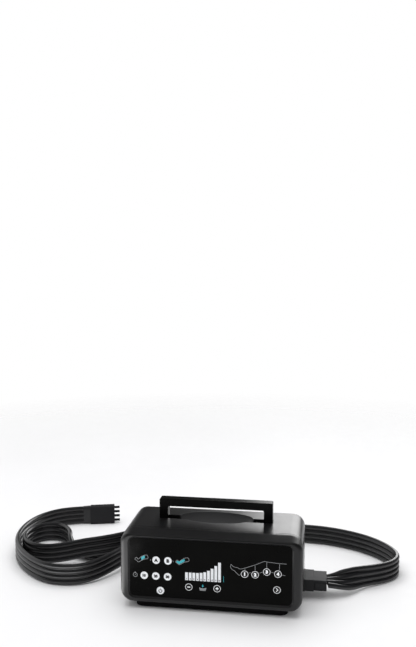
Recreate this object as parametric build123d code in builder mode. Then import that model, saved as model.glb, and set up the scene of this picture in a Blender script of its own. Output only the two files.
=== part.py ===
"""Table-top air compression pump with its four-tube hose set.

The casing stands on its feet on the plane Z = 0, centred on the origin in X and Y. The control
panel faces -Y, +X is to the right of someone who reads it and +Z is up. All sizes are in mm.
"""

from math import radians, tan
import os

from build123d import *

os.makedirs("parts", exist_ok=True)

# Casing: a rounded box in two mouldings, the front bezel and the rear shell.
casing_width = 270.0
casing_height = 109.0
casing_depth = 118.0
casing_corner = 19.0
casing_wall = 2.6
floor_gap = 9.0  # from the floor to the underside of the casing
bezel_depth = 19.0
bezel_slope_depth = 17.0  # of the slope that runs from the bezel's sides in to its face
bezel_slope_inset = 5.5
bezel_shoulder_round = 10.0  # between the sides and the slope
bezel_front_round = 5.0  # between the slope and the face
bezel_ring_thickness = 7.5
shell_back_round = 8.0
shell_back_wall = 3.0
trim_band = 3.6  # plain band between the seam and the groove that runs round the shell
groove_width = 0.8
groove_depth = 0.7
tongue_length = 2.5
tongue_thickness = 1.2
moulding_gap = 0.1  # between parts that locate in each other
screw_well_inset = 14.0  # of the four casing screws from the sides and top of the casing
screw_well_rise = 29.0  # of the lower two above the underside of the casing
screw_boss_radius = 4.5
screw_well_radius = 3.3
screw_seat = 4.0  # plastic under the head of a casing screw
screw_radius = 1.5
screw_hole_play = 0.25
screw_head_radius = 2.8
screw_head_height = 2.2
casing_screw_length = 13.0

# Control panel: a glossy plate set back in the bezel, with keys and a level display in it.
panel_side_margin = 15.0  # of casing to the left and right of the panel
panel_end_margin = 9.75  # of casing above and below it
panel_corner = 8.0
panel_drop = 0.25  # of its middle below the middle of the casing
panel_thickness = 2.0
panel_recess = 2.5
panel_bevel = 2.5  # width of the slope from the bezel's face down to the panel
panel_ledge = 3.0
panel_play = 0.15
key_radius = 5.6
key_play = 0.25
key_proud = 0.4
key_flange_radius = 6.8
key_flange_thickness = 0.8
key_flange_gap = 0.05
key_stem_radius = 2.4
key_stem_length = 2.2
key_edge_round = 0.25
key_travel = 0.6
# Key centres, up from the panel's lower edge: the left keys in from its left edge, the middle keys
# across from its middle, the right keys in from its right edge.
left_keys = {
    "mode_a_key": (40.0, 56.4),
    "mode_b_key": (57.8, 56.4),
    "timer_10_key": (21.9, 32.2),
    "timer_20_key": (39.4, 32.2),
    "timer_30_key": (57.2, 32.2),
    "power_key": (46.3, 10.4),
}
middle_keys = {
    "minus_key": (-31.1, 18.8),
    "plus_key": (10.9, 19.1),
}
right_keys = {
    "next_key": (21.9, 23.0),
    "chamber_1_key": (68.8, 43.7),
    "chamber_2_key": (53.6, 43.8),
    "chamber_3_key": (36.8, 49.0),
    "chamber_4_key": (20.7, 46.9),
}
bar_count = 10
bar_first_x = -34.5
bar_pitch = 5.42
bar_width = 4.1
bar_foot_rise = 28.9  # of the bars above the panel's lower edge
bar_short = 11.8  # height of the lowest bars
bar_level_count = 4  # bars that share the lowest height
bar_growth_height = 0.49  # each later bar gains this times its squared step
bar_play = 0.1
bar_shy_depth = 0.15  # of the bars' faces behind the panel's face
mat_thickness = 1.0
mat_pad_radius = 4.0
mat_pad_gap = 0.1  # left under a pressed key
mat_margin = 5.0  # of the mat inside the edges of the board
board_thickness = 1.6
board_side_gap = 9.0  # from the board's tabs to the sides of the casing
board_low_gap = 14.0  # from its lower edge to the underside of the casing
board_top_gap = 17.0  # from its upper edge to the top of the casing
board_tab_length = 14.0  # of the four tabs that reach the posts
board_tab_width = 8.4
board_post_radius = 3.2
board_post_inset = 14.0  # of the board's posts from the sides of the casing
board_post_low = 4.2  # of the lower posts above the board's lower edge
board_post_high = 13.0  # of the upper posts below its upper edge
board_screw_radius = 1.1
board_screw_length = 5.0
board_screw_head_radius = 2.2
board_screw_head_height = 1.4
processor_size = 14.0
processor_x = -40.0
processor_z = 62.0
driver_count = 3
driver_pitch = 16.0
driver_length = 10.0
driver_width = 6.0
driver_x = 20.0
driver_z = 44.0
socket_x = 88.0  # of the two wire sockets to either side of the middle
socket_z = 40.0
socket_length = 18.0
socket_width = 6.0
chip_thickness = 1.6

# Carrying handle: a U that slides up out of a trough in the top of the shell.
handle_span = 175.0
handle_bar_height = 11.5
handle_depth = 15.4
handle_leg_width = 13.5
handle_y = 11.0
handle_rise = 30.5  # of the bar's top above the casing when pulled out
handle_leg_below = 46.0  # of each leg below the top of the casing when pulled out
handle_corner = 2.5
handle_edge_round = 1.0
handle_play = 0.35
trough_wall = 2.2
trough_spare_depth = 0.5  # of the trough's depth beyond the bar's height
scoop_length = 114.0
scoop_half_width = 25.0
scoop_setback = 6.0  # of its middle behind the middle of the handle
guide_wall = 3.2
guide_length = 22.3
guide_ear_reach = 7.0
guide_ear_thickness = 3.0
guide_boss_radius = 3.2
stop_pin_radius = 1.5
stop_pin_reach = 2.6  # beyond each face of the leg
stop_pin_gap = 0.2  # under the guide when the handle is pulled out
guide_screw_length = 8.0
guide_screw_head_radius = 2.6

# Base: a plinth set in from the casing's edges, on four rubber feet.
plinth_inset_x = 21.0
plinth_inset_y = 8.0
plinth_height = 5.0
plinth_corner = 12.0
plinth_rib = 9.0
foot_radius = 9.0
foot_height = 5.0
foot_inset_x = 36.0
foot_inset_y = 25.0
foot_seat = 1.0  # depth of the plinth's pocket for a foot
foot_round = 1.0
foot_screw_radius = 1.6
foot_well_depth = 2.6
foot_well_radius = 3.6

# Hose port and plug, low on the right-hand side.
port_inset = 29.0  # of its middle from the back of the casing
port_rise = 12.2  # of its middle above the underside of the casing
port_width = 42.0
port_height = 19.0
port_length = 33.0
port_proud = 2.0
port_cavity_depth = 12.5
port_cavity_wall = 1.7
tube_count = 4
tube_pitch = 8.4
tube_diameter = 8.2
nipple_radius = 2.3
nipple_bore = 1.3
nipple_length = 9.0
plug_nose_length = 11.5
plug_nose_play = 0.25
plug_head_length = 13.0
plug_head_width = 41.0
plug_head_height = 18.0
plug_body_length = 19.5
plug_body_width = 38.0
plug_body_height = 16.4
plug_port_gap = 0.15
plug_round = 1.2
nipple_play = 0.3
latch_length = 15.0
latch_height = 9.0
latch_thickness = 1.8
latch_proud = 1.2
latch_gap = 0.3
latch_pin_radius = 0.8
latch_pin_play = 0.05
latch_inset = 2.0
latch_pocket = 3.2
latch_eye_radius = 1.45

# Hose set: flat ribbons of four tubes side by side.
ribbon_width = (tube_count - 1) * tube_pitch + tube_diameter
ribbon_thickness = tube_diameter
ribbon_edge_round = 3.6
ribbon_bend_share = 0.45  # of the shorter run beside a bend that its arc takes up
on_edge = 90.0  # tilt of a ribbon that stands on its edge
lying_flat = 0.0
heading_reach = 10.0  # from the plug's end to the point that the ribbon heads for
splitter_length = 58.0
splitter_height = 35.0
splitter_depth = 24.0
splitter_round = 3.0
branch_spread = 12.0  # between the two branches where they leave the splitter
connector_length = 46.0
connector_width = 34.4
connector_thickness = 15.4
connector_round = 2.5
connector_nipple_length = 10.0

# Mains inlet, low on the back.
inlet_inset = 35.0  # of its middle from the left side of the casing
inlet_rise = 21.0  # of its middle above the underside of the casing
inlet_width = 22.0
inlet_height = 13.0
inlet_flange = 2.2
inlet_flange_thickness = 1.6
inlet_depth = 18.0
inlet_wall = 1.6
inlet_floor = 3.0
inlet_pin_radius = 1.2
inlet_pin_spacing = 9.6
inlet_pin_length = 11.0

# Vents in the back wall.
vent_columns = 14
vent_pitch = 6.2
vent_width = 2.6
vent_height = 30.0
vent_x = 8.0
vent_rise = 57.0  # of their middle above the underside of the casing

# Inner works.
chassis_thickness = 2.0
chassis_play = 1.0
chassis_port_gap = 2.0
mount_height = 8.0
mount_radius = 6.0
compressor_length = 76.0
compressor_depth = 46.0
compressor_height = 44.0
compressor_x = -16.0
compressor_y = 14.0
compressor_wall = 4.0
head_length = 14.0
head_port_length = 6.0
diaphragm_thickness = 2.0
coil_radius = 13.0
coil_bore = 6.0
coil_length = 14.0
rod_radius = 4.0
rod_play = 0.3
rod_stroke = 1.2
magnet_length = 18.0
magnet_half = 9.0
valve_inset = 35.0  # of its axis from the right side of the casing
valve_setback = 24.0  # of its axis behind the seam
valve_radius = 13.0
valve_height = 20.0
valve_lift = 4.0
rotor_radius = 8.0
rotor_play = 0.05
rotor_shy_height = 3.0  # left above the rotor inside the block
rotor_shaft_radius = 1.5
valve_motor_radius = 12.0
valve_motor_height = 24.0
valve_outlet_pitch = 6.4
valve_spigot_length = 4.0
valve_inlet_rise = 12.0  # of the inlet spigot above the outlets
inner_tube_wall = 0.8
inner_tube_fit = 0.02
inner_tube_bend = 8.0  # tighter where the run between two bends is too short for it
inner_tube_step = 7.0  # between the tubes where they lie side by side
inner_tube_reach = 30.0  # of the farthest bend to the left of the valve's spigots
supply_rise = 12.0  # of the supply tube above the compressor's heads
supply_bend = 6.0
supply_branch_reach = 20.0  # to the right of the compressor's middle
supply_drop_reach = 15.0  # to the left of the valve's spigots
valve_inlet_shift = 4.0  # of the valve's inlet in front of its axis
sensor_tube_run = 10.15  # behind the sensor's face
power_board_inset = 32.0  # of its middle from the left side of the casing
power_board_width = 22.0
power_board_length = 62.0
power_board_y = 8.0
power_post_height = 5.0
power_post_radius = 2.6
power_post_inset = 3.0
capacitor_margin = 2.0
transformer_size = (18.0, 26.0, 24.0)
capacitor_radius = 6.0
capacitor_height = 20.0
sensor_size = (9.0, 8.0, 5.0)
sensor_x = 40.0
sensor_z = 74.0
sensor_nipple_radius = 1.5
sensor_nipple_length = 4.0

# Places that follow from the sizes above.
y_front = -casing_depth / 2
y_back = casing_depth / 2
y_seam = y_front + bezel_depth
y_ring_back = y_front + bezel_ring_thickness
ring_back_inset = bezel_slope_inset * (1 - bezel_ring_thickness / bezel_slope_depth)
z_low = floor_gap
z_top = z_low + casing_height
z_mid = (z_low + z_top) / 2
panel_width = casing_width - 2 * panel_side_margin
panel_height = casing_height - 2 * panel_end_margin
z_panel = z_mid - panel_drop
z_panel_low = z_panel - panel_height / 2
key_places = {name: (x - panel_width / 2, z_panel_low + rise) for name, (x, rise) in left_keys.items()}
key_places |= {name: (x, z_panel_low + rise) for name, (x, rise) in middle_keys.items()}
key_places |= {name: (panel_width / 2 - x, z_panel_low + rise) for name, (x, rise) in right_keys.items()}
z_floor_inside = z_low + casing_wall
inner_width = casing_width - 2 * casing_wall
inner_corner = casing_corner - casing_wall
well_x = casing_width / 2 - screw_well_inset
well_heights = (z_low + screw_well_rise, z_top - screw_well_inset)
well_places = [(side * well_x, z) for side in (-1, 1) for z in well_heights]
y_panel_face = y_front + panel_recess
y_panel_back = y_panel_face + panel_thickness
y_key_face = y_panel_face - key_proud
y_flange_back = y_panel_back + key_flange_gap + key_flange_thickness
y_stem_end = y_flange_back + key_stem_length
y_pad_face = y_stem_end + key_travel + mat_pad_gap
y_mat_face = y_pad_face + mat_thickness
y_board_face = y_mat_face + mat_thickness
y_board_back = y_board_face + board_thickness
board_width = casing_width - 2 * board_side_gap
board_low_z = z_low + board_low_gap
board_high_z = z_top - board_top_gap
board_z = (board_low_z + board_high_z) / 2
board_height = board_high_z - board_low_z
post_x = casing_width / 2 - board_post_inset
post_heights = (board_low_z + board_post_low, board_high_z - board_post_high)
post_places = [(side * post_x, z) for side in (-1, 1) for z in post_heights]
bar_foot_z = z_panel_low + bar_foot_rise
bar_x_places = [bar_first_x + bar_pitch * i for i in range(bar_count)]
bar_steps = [max(0, i - bar_level_count + 1) for i in range(bar_count)]
bar_heights = [bar_short + bar_growth_height * step**2 for step in bar_steps]
z_bar_top = z_top + handle_rise
z_trough_floor = z_top - handle_bar_height - trough_spare_depth
z_trough_under = z_trough_floor - trough_wall
scoop_y = handle_y + scoop_setback
scoop_axis = Axis((0, scoop_y, z_top), (-1, 0, 0))
guide_low_z = z_trough_under - guide_length
leg_x = handle_span / 2 - handle_leg_width / 2
slot_span = handle_span + 2 * handle_play
slot_depth = handle_depth + 2 * handle_play
leg_hole_width = handle_leg_width + 2 * handle_play
z_leg_end = z_top - handle_leg_below
z_stop_pin = guide_low_z - stop_pin_gap - stop_pin_radius
ear_y = slot_depth / 2 + guide_wall + guide_ear_reach / 2
z_plinth = z_low - plinth_height
foot_x = casing_width / 2 - foot_inset_x
foot_y = casing_depth / 2 - foot_inset_y
port_y = y_back - port_inset
port_z = z_low + port_rise
x_port_face = casing_width / 2 + port_proud
port_inner_x = x_port_face - port_length
x_cavity_floor = x_port_face - port_cavity_depth
x_plug_head = x_port_face + plug_port_gap
x_plug_body = x_plug_head + plug_head_length
x_plug_end = x_plug_body + plug_body_length
cavity_width = port_width - 2 * port_cavity_wall
cavity_height = port_height - 2 * port_cavity_wall
inlet_x = inlet_inset - casing_width / 2
inlet_z = z_low + inlet_rise
vent_z = z_low + vent_rise
chassis_half_width = inner_width / 2 - inner_corner - chassis_play
chassis_front_y = y_seam + tongue_length + chassis_play
chassis_back_y = y_back - shell_back_round - chassis_play
z_chassis = z_floor_inside + chassis_thickness
z_compressor = z_chassis + mount_height
z_compressor_mid = z_compressor + compressor_height / 2
z_valve = z_chassis + valve_lift
z_valve_top = z_valve + valve_height
valve_x = casing_width / 2 - valve_inset
valve_y = y_seam + valve_setback
supply_drop_y = valve_y - valve_inlet_shift
power_board_x = power_board_inset - casing_width / 2


def facing_front(y, x=0.0, z=0.0):
    """Plane at y whose normal is -Y, with its own x along +X and its own y along +Z."""
    return Plane(origin=(x, y, z), x_dir=(1, 0, 0), z_dir=(0, -1, 0))


def facing_right(x, y=0.0, z=0.0):
    """Plane at x whose normal is +X, with its own x along +Y and its own y along +Z."""
    return Plane(origin=(x, y, z), x_dir=(0, 1, 0), z_dir=(1, 0, 0))


def level(z, x=0.0, y=0.0):
    """Plane at height z whose normal is +Z."""
    return Plane(origin=(x, y, z), x_dir=(1, 0, 0), z_dir=(0, 0, 1))


def finish(builder, name):
    """Label a finished piece and write it to its own file."""
    builder.part.label = name
    export_step(builder.part, f"parts/{name}.step")


def casing_outline(inset, mode=Mode.ADD):
    """Rounded outline of the casing, this far inside its outer faces."""
    width = casing_width - 2 * inset
    height = casing_height - 2 * inset
    return RectangleRounded(width, height, casing_corner - inset, mode=mode)


def panel_outline(growth):
    """Rounded outline of the panel, this far outside its edge."""
    return RectangleRounded(panel_width + 2 * growth, panel_height + 2 * growth, panel_corner + growth)


def half_ellipse(half_x, half_y):
    """The half of an ellipse on the plane's own +Y side."""
    Ellipse(half_x, half_y)
    Rectangle(2 * half_x, half_y, align=(Align.CENTER, Align.MAX), mode=Mode.SUBTRACT)


def four_corners(half_x, half_y):
    """The four corners of a rectangle, as places on the current plane."""
    return GridLocations(2 * half_x, 2 * half_y, 2, 2)


# ---------------------------------------------------------------- front bezel
with BuildPart() as front_bezel:
    with BuildSketch(facing_front(y_seam, z=z_mid)):
        casing_outline(0)
    extrude(amount=bezel_depth)
    # Slope from the sides in to the face, rounded at both of its ends.
    face = front_bezel.faces().sort_by(Axis.Y)[0]
    chamfer(face.edges(), bezel_slope_inset, bezel_slope_depth, reference=face)
    fillet(front_bezel.edges().group_by(Axis.Y)[2], bezel_shoulder_round)
    fillet(front_bezel.faces().sort_by(Axis.Y)[0].edges(), bezel_front_round)
    # Hollow behind the ring, narrowing with the slope.
    with BuildSketch(facing_front(y_seam, z=z_mid)):
        casing_outline(casing_wall)
    with BuildSketch(facing_front(y_ring_back, z=z_mid)):
        casing_outline(casing_wall + ring_back_inset)
    loft(mode=Mode.SUBTRACT)
    # Opening, the seat for the panel and the slope down to it.
    with BuildSketch(facing_front(y_ring_back, z=z_panel)):
        panel_outline(-panel_ledge)
    extrude(amount=bezel_ring_thickness, mode=Mode.SUBTRACT)
    with BuildSketch(facing_front(y_panel_back, z=z_panel)):
        panel_outline(0)
    extrude(amount=panel_thickness, mode=Mode.SUBTRACT)
    with BuildSketch(facing_front(y_panel_face, z=z_panel)):
        panel_outline(0)
    with BuildSketch(facing_front(y_front, z=z_panel)):
        panel_outline(panel_bevel)
    loft(mode=Mode.SUBTRACT)
    # Tongue that locates the rear shell.
    with BuildSketch(facing_front(y_seam, z=z_mid)):
        casing_outline(casing_wall)
        offset(amount=-tongue_thickness, mode=Mode.SUBTRACT, kind=Kind.ARC)
    extrude(amount=tongue_length)
    with BuildSketch(facing_front(y_seam, z=z_mid)):
        casing_outline(casing_wall + moulding_gap)
        offset(amount=-tongue_thickness, mode=Mode.SUBTRACT, kind=Kind.ARC)
    extrude(amount=-tongue_length)
    # Bosses for the casing screws and posts for the control board.
    with BuildSketch(facing_front(y_ring_back)):
        with Locations(*well_places):
            Circle(screw_boss_radius)
    extrude(amount=-(y_seam - y_ring_back) + moulding_gap)
    with BuildSketch(facing_front(y_seam)):
        with Locations(*well_places):
            Circle(screw_radius)
    extrude(amount=casing_screw_length - screw_seat, mode=Mode.SUBTRACT)
    with BuildSketch(facing_front(y_ring_back)):
        with Locations(*post_places):
            Circle(board_post_radius)
    extrude(amount=-(y_board_face - y_ring_back))
    with BuildSketch(facing_front(y_board_face)):
        with Locations(*post_places):
            Circle(board_screw_radius)
    extrude(amount=board_screw_length - board_thickness, mode=Mode.SUBTRACT)
finish(front_bezel, "front_bezel")

# ---------------------------------------------------------------- front panel
with BuildPart() as front_panel:
    with BuildSketch(facing_front(y_panel_back, z=z_panel)):
        panel_outline(-panel_play)
    extrude(amount=panel_thickness)
    with BuildSketch(facing_front(y_panel_back)):
        with Locations(*key_places.values()):
            Circle(key_radius + key_play)
        for x, height in zip(bar_x_places, bar_heights):
            with Locations((x, bar_foot_z + height / 2)):
                Rectangle(bar_width + 2 * bar_play, height + 2 * bar_play)
    extrude(amount=panel_thickness, mode=Mode.SUBTRACT)
finish(front_panel, "front_panel")

# ---------------------------------------------------------------- level bars
with BuildPart() as level_bars:
    with BuildSketch(facing_front(y_board_face)):
        for x, height in zip(bar_x_places, bar_heights):
            with Locations((x, bar_foot_z + height / 2)):
                Rectangle(bar_width, height)
    extrude(amount=y_board_face - y_panel_face - bar_shy_depth)
finish(level_bars, "level_bars")

# ---------------------------------------------------------------- keys
for key_name, (key_x, key_z) in key_places.items():
    with BuildPart() as key:
        with BuildSketch(facing_front(y_panel_back + key_flange_gap, key_x, key_z)):
            Circle(key_radius)
        extrude(amount=y_panel_back + key_flange_gap - y_key_face)
        fillet(key.faces().sort_by(Axis.Y)[0].edges(), key_edge_round)
        with BuildSketch(facing_front(y_flange_back, key_x, key_z)):
            Circle(key_flange_radius)
        extrude(amount=key_flange_thickness)
        with BuildSketch(facing_front(y_stem_end, key_x, key_z)):
            Circle(key_stem_radius)
        extrude(amount=key_stem_length)
    finish(key, key_name)

# ---------------------------------------------------------------- key mat
with BuildPart() as key_mat:
    with BuildSketch(facing_front(y_board_face, z=board_z)):
        Rectangle(board_width - 2 * board_tab_length - 2 * mat_margin, board_height)
    extrude(amount=mat_thickness)
    with BuildSketch(facing_front(y_mat_face)):
        with Locations(*key_places.values()):
            Circle(mat_pad_radius)
    extrude(amount=mat_thickness)
    with BuildSketch(facing_front(y_board_face)):
        for x, height in zip(bar_x_places, bar_heights):
            with Locations((x, bar_foot_z + height / 2)):
                Rectangle(bar_width + 2 * bar_play, height + 2 * bar_play)
    extrude(amount=mat_thickness, mode=Mode.SUBTRACT)
finish(key_mat, "key_mat")

# ---------------------------------------------------------------- control board
with BuildPart() as control_board:
    with BuildSketch(facing_front(y_board_back, z=board_z)):
        Rectangle(board_width - 2 * board_tab_length, board_height)
    extrude(amount=board_thickness)
    with BuildSketch(facing_front(y_board_back)):
        for height in post_heights:
            with Locations((0, height)):
                Rectangle(board_width, board_tab_width)
    extrude(amount=board_thickness)
    with BuildSketch(facing_front(y_board_back)):
        with Locations(*post_places):
            Circle(board_screw_radius + screw_hole_play)
    extrude(amount=board_thickness, mode=Mode.SUBTRACT)
    # Processor, drivers and the two wire sockets on the back.
    with BuildSketch(facing_front(y_board_back)):
        with Locations((processor_x, processor_z)):
            Rectangle(processor_size, processor_size)
        with GridLocations(driver_pitch, 1.0, driver_count, 1):
            with Locations((driver_x, driver_z)):
                Rectangle(driver_length, driver_width)
        with Locations((-socket_x, socket_z), (socket_x, socket_z)):
            Rectangle(socket_length, socket_width)
    extrude(amount=-chip_thickness)
finish(control_board, "control_board")

# ---------------------------------------------------------------- board screws
with BuildPart() as board_screws:
    with BuildSketch(facing_front(y_board_back)):
        with Locations(*post_places):
            Circle(board_screw_radius)
    extrude(amount=board_screw_length)
    with BuildSketch(facing_front(y_board_back)):
        with Locations(*post_places):
            Circle(board_screw_head_radius)
    extrude(amount=-board_screw_head_height)
finish(board_screws, "board_screws")

# ---------------------------------------------------------------- rear shell
with BuildPart() as rear_shell:
    with BuildSketch(facing_front(y_back, z=z_mid)):
        casing_outline(0)
    extrude(amount=y_back - y_seam)
    fillet(rear_shell.faces().sort_by(Axis.Y)[-1].edges(), shell_back_round)
    with BuildPart(mode=Mode.PRIVATE) as hollow:
        with BuildSketch(facing_front(y_back - shell_back_wall, z=z_mid)):
            casing_outline(casing_wall)
        extrude(amount=y_back - shell_back_wall - y_seam)
        fillet(hollow.faces().sort_by(Axis.Y)[-1].edges(), shell_back_round - casing_wall)
    add(hollow.part, mode=Mode.SUBTRACT)
    # Groove round the shell, just behind the seam.
    with BuildSketch(facing_front(y_seam + trim_band + groove_width, z=z_mid)):
        casing_outline(-groove_depth)
        casing_outline(groove_depth, Mode.SUBTRACT)
    extrude(amount=groove_width, mode=Mode.SUBTRACT)
    # Walls of the handle's trough and of the finger scoop, hanging under the top.
    with BuildSketch(level(z_trough_under, y=handle_y)):
        RectangleRounded(slot_span + 2 * trough_wall, slot_depth + 2 * trough_wall, trough_wall)
    extrude(amount=z_top - z_trough_under)
    with BuildSketch(level(z_top, y=scoop_y)):
        half_ellipse(scoop_length / 2 + trough_wall, scoop_half_width + trough_wall)
    revolve(axis=scoop_axis, revolution_arc=180)
    # Bosses under the top for the guide screws.
    with BuildSketch(level(z_trough_under, y=handle_y)):
        with four_corners(leg_x, ear_y):
            Circle(guide_boss_radius)
    extrude(amount=z_top - casing_wall / 2 - z_trough_under)
    # Posts that carry the casing screws from the back wall to the seam.
    with BuildSketch(facing_front(y_back - shell_back_wall / 2)):
        with Locations(*well_places):
            Circle(screw_boss_radius)
    extrude(amount=y_back - shell_back_wall / 2 - y_seam)
    # The trough, the scoop and the holes for the legs, which also clear the handle's inner corners.
    with BuildSketch(level(z_trough_floor, y=handle_y)):
        RectangleRounded(slot_span, slot_depth, handle_edge_round)
    extrude(amount=z_top - z_trough_floor, mode=Mode.SUBTRACT)
    with BuildSketch(level(z_top, y=scoop_y)):
        half_ellipse(scoop_length / 2, scoop_half_width)
    revolve(axis=scoop_axis, revolution_arc=180, mode=Mode.SUBTRACT)
    with BuildSketch(level(z_trough_under, y=handle_y)):
        with Locations((handle_corner / 2 - leg_x, 0), (leg_x - handle_corner / 2, 0)):
            Rectangle(leg_hole_width + handle_corner, slot_depth)
    extrude(amount=z_top - z_trough_under, mode=Mode.SUBTRACT)
    with BuildSketch(level(z_trough_under, y=handle_y)):
        with four_corners(leg_x, ear_y):
            Circle(screw_radius)
    extrude(amount=guide_screw_length - guide_ear_thickness, mode=Mode.SUBTRACT)
    # Screw wells from the back, each with a seat and a hole at its front end.
    with BuildSketch(facing_front(y_back)):
        with Locations(*well_places):
            Circle(screw_well_radius)
    extrude(amount=y_back - y_seam - screw_seat, mode=Mode.SUBTRACT)
    with BuildSketch(facing_front(y_back)):
        with Locations(*well_places):
            Circle(screw_radius + screw_hole_play)
    extrude(amount=y_back - y_seam, mode=Mode.SUBTRACT)
    # Openings for the hose port, the mains inlet, the vents and the foot screws.
    with BuildSketch(facing_right(port_inner_x, port_y, port_z)):
        Rectangle(port_width + 2 * moulding_gap, port_height + 2 * moulding_gap)
    extrude(amount=casing_width / 2, mode=Mode.SUBTRACT)
    with BuildSketch(facing_front(y_back, inlet_x, inlet_z)):
        Rectangle(inlet_width + 2 * moulding_gap, inlet_height + 2 * moulding_gap)
    extrude(amount=2 * shell_back_wall, mode=Mode.SUBTRACT)
    with BuildSketch(facing_front(y_back, vent_x, vent_z)):
        with GridLocations(vent_pitch, 1.0, vent_columns, 1):
            SlotOverall(vent_height, vent_width, rotation=90)
    extrude(amount=2 * shell_back_wall, mode=Mode.SUBTRACT)
    with BuildSketch(level(z_low)):
        with four_corners(foot_x, foot_y):
            Circle(foot_screw_radius + screw_hole_play)
    extrude(amount=casing_wall, mode=Mode.SUBTRACT)
finish(rear_shell, "rear_shell")

# ---------------------------------------------------------------- casing screws
with BuildPart() as casing_screws:
    with BuildSketch(facing_front(y_seam + screw_seat)):
        with Locations(*well_places):
            Circle(screw_radius)
    extrude(amount=casing_screw_length)
    with BuildSketch(facing_front(y_seam + screw_seat)):
        with Locations(*well_places):
            Circle(screw_head_radius)
    extrude(amount=-screw_head_height)
finish(casing_screws, "casing_screws")

# ---------------------------------------------------------------- base plinth
with BuildPart() as base_plinth:
    with BuildSketch(level(z_plinth)):
        RectangleRounded(casing_width - 2 * plinth_inset_x, casing_depth - 2 * plinth_inset_y, plinth_corner)
        RectangleRounded(
            casing_width - 2 * plinth_inset_x - 2 * plinth_rib,
            casing_depth - 2 * plinth_inset_y - 2 * plinth_rib,
            plinth_corner / 2,
            mode=Mode.SUBTRACT,
        )
        with four_corners(foot_x, foot_y):
            Circle(foot_radius + 2 * foot_seat)
    extrude(amount=plinth_height)
    with BuildSketch(level(z_plinth)):
        with four_corners(foot_x, foot_y):
            Circle(foot_radius + moulding_gap)
    extrude(amount=foot_seat, mode=Mode.SUBTRACT)
    with BuildSketch(level(z_plinth)):
        with four_corners(foot_x, foot_y):
            Circle(foot_screw_radius + screw_hole_play)
    extrude(amount=plinth_height, mode=Mode.SUBTRACT)
finish(base_plinth, "base_plinth")

# ---------------------------------------------------------------- feet and their screws
with BuildPart() as feet:
    with BuildSketch(level(0)):
        with four_corners(foot_x, foot_y):
            Circle(foot_radius)
    extrude(amount=foot_height)
    fillet(feet.faces().group_by(Axis.Z)[0].edges(), foot_round)
    with BuildSketch(level(0)):
        with four_corners(foot_x, foot_y):
            Circle(foot_well_radius)
    extrude(amount=foot_well_depth, mode=Mode.SUBTRACT)
    with BuildSketch(level(0)):
        with four_corners(foot_x, foot_y):
            Circle(foot_screw_radius + screw_hole_play)
    extrude(amount=foot_height, mode=Mode.SUBTRACT)
finish(feet, "feet")

with BuildPart() as foot_screws:
    with BuildSketch(level(foot_well_depth)):
        with four_corners(foot_x, foot_y):
            Circle(foot_screw_radius)
    extrude(amount=z_chassis - foot_well_depth)
    with BuildSketch(level(foot_well_depth)):
        with four_corners(foot_x, foot_y):
            Circle(screw_head_radius)
    extrude(amount=-screw_head_height)
finish(foot_screws, "foot_screws")

# ---------------------------------------------------------------- carrying handle
with BuildPart() as handle:
    with BuildSketch(facing_front(handle_y + handle_depth / 2)):
        with Locations((0, (z_bar_top + z_leg_end) / 2)):
            RectangleRounded(handle_span, z_bar_top - z_leg_end, handle_corner)
        with BuildSketch(mode=Mode.SUBTRACT):
            with Locations((0, (z_bar_top - handle_bar_height + z_leg_end) / 2)):
                Rectangle(handle_span - 2 * handle_leg_width, z_bar_top - handle_bar_height - z_leg_end)
    extrude(amount=handle_depth)
    z_grip = z_bar_top - handle_bar_height
    cross_edges = handle.edges().filter_by(Axis.Y)
    inner_corners = cross_edges.filter_by_position(Axis.Z, z_grip - moulding_gap, z_grip + moulding_gap)
    fillet(inner_corners, handle_corner)
    long_edges = handle.faces().sort_by(Axis.Z)[-1].edges().filter_by(Axis.X)
    fillet(long_edges, handle_edge_round)
    with BuildSketch(facing_front(handle_y + handle_depth / 2)):
        with Locations((-leg_x, z_stop_pin), (leg_x, z_stop_pin)):
            Circle(stop_pin_radius + moulding_gap / 4)
    extrude(amount=handle_depth, mode=Mode.SUBTRACT)
finish(handle, "handle")

with BuildPart() as handle_stop_pins:
    with BuildSketch(facing_front(handle_y + handle_depth / 2 + stop_pin_reach)):
        with Locations((-leg_x, z_stop_pin), (leg_x, z_stop_pin)):
            Circle(stop_pin_radius)
    extrude(amount=handle_depth + 2 * stop_pin_reach)
finish(handle_stop_pins, "handle_stop_pins")

# ---------------------------------------------------------------- handle guides and their screws
with BuildPart() as handle_guides:
    with BuildSketch(level(guide_low_z, y=handle_y)):
        with Locations((-leg_x, 0), (leg_x, 0)):
            Rectangle(leg_hole_width + 2 * guide_wall, slot_depth + 2 * guide_wall)
    extrude(amount=z_trough_under - guide_low_z)
    with BuildSketch(level(z_trough_under - guide_ear_thickness, y=handle_y)):
        with Locations((-leg_x, 0), (leg_x, 0)):
            Rectangle(2 * guide_boss_radius, slot_depth + 2 * guide_wall + 2 * guide_ear_reach)
    extrude(amount=guide_ear_thickness)
    with BuildSketch(level(guide_low_z, y=handle_y)):
        with Locations((-leg_x, 0), (leg_x, 0)):
            Rectangle(leg_hole_width, slot_depth)
    extrude(amount=z_trough_under - guide_low_z, mode=Mode.SUBTRACT)
    with BuildSketch(level(guide_low_z, y=handle_y)):
        with four_corners(leg_x, ear_y):
            Circle(screw_radius + screw_hole_play)
    extrude(amount=z_trough_under - guide_low_z, mode=Mode.SUBTRACT)
finish(handle_guides, "handle_guides")

with BuildPart() as guide_screws:
    with BuildSketch(level(z_trough_under - guide_ear_thickness, y=handle_y)):
        with four_corners(leg_x, ear_y):
            Circle(screw_radius)
    extrude(amount=guide_screw_length)
    with BuildSketch(level(z_trough_under - guide_ear_thickness, y=handle_y)):
        with four_corners(leg_x, ear_y):
            Circle(guide_screw_head_radius)
    extrude(amount=-screw_head_height)
finish(guide_screws, "guide_screws")

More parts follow.
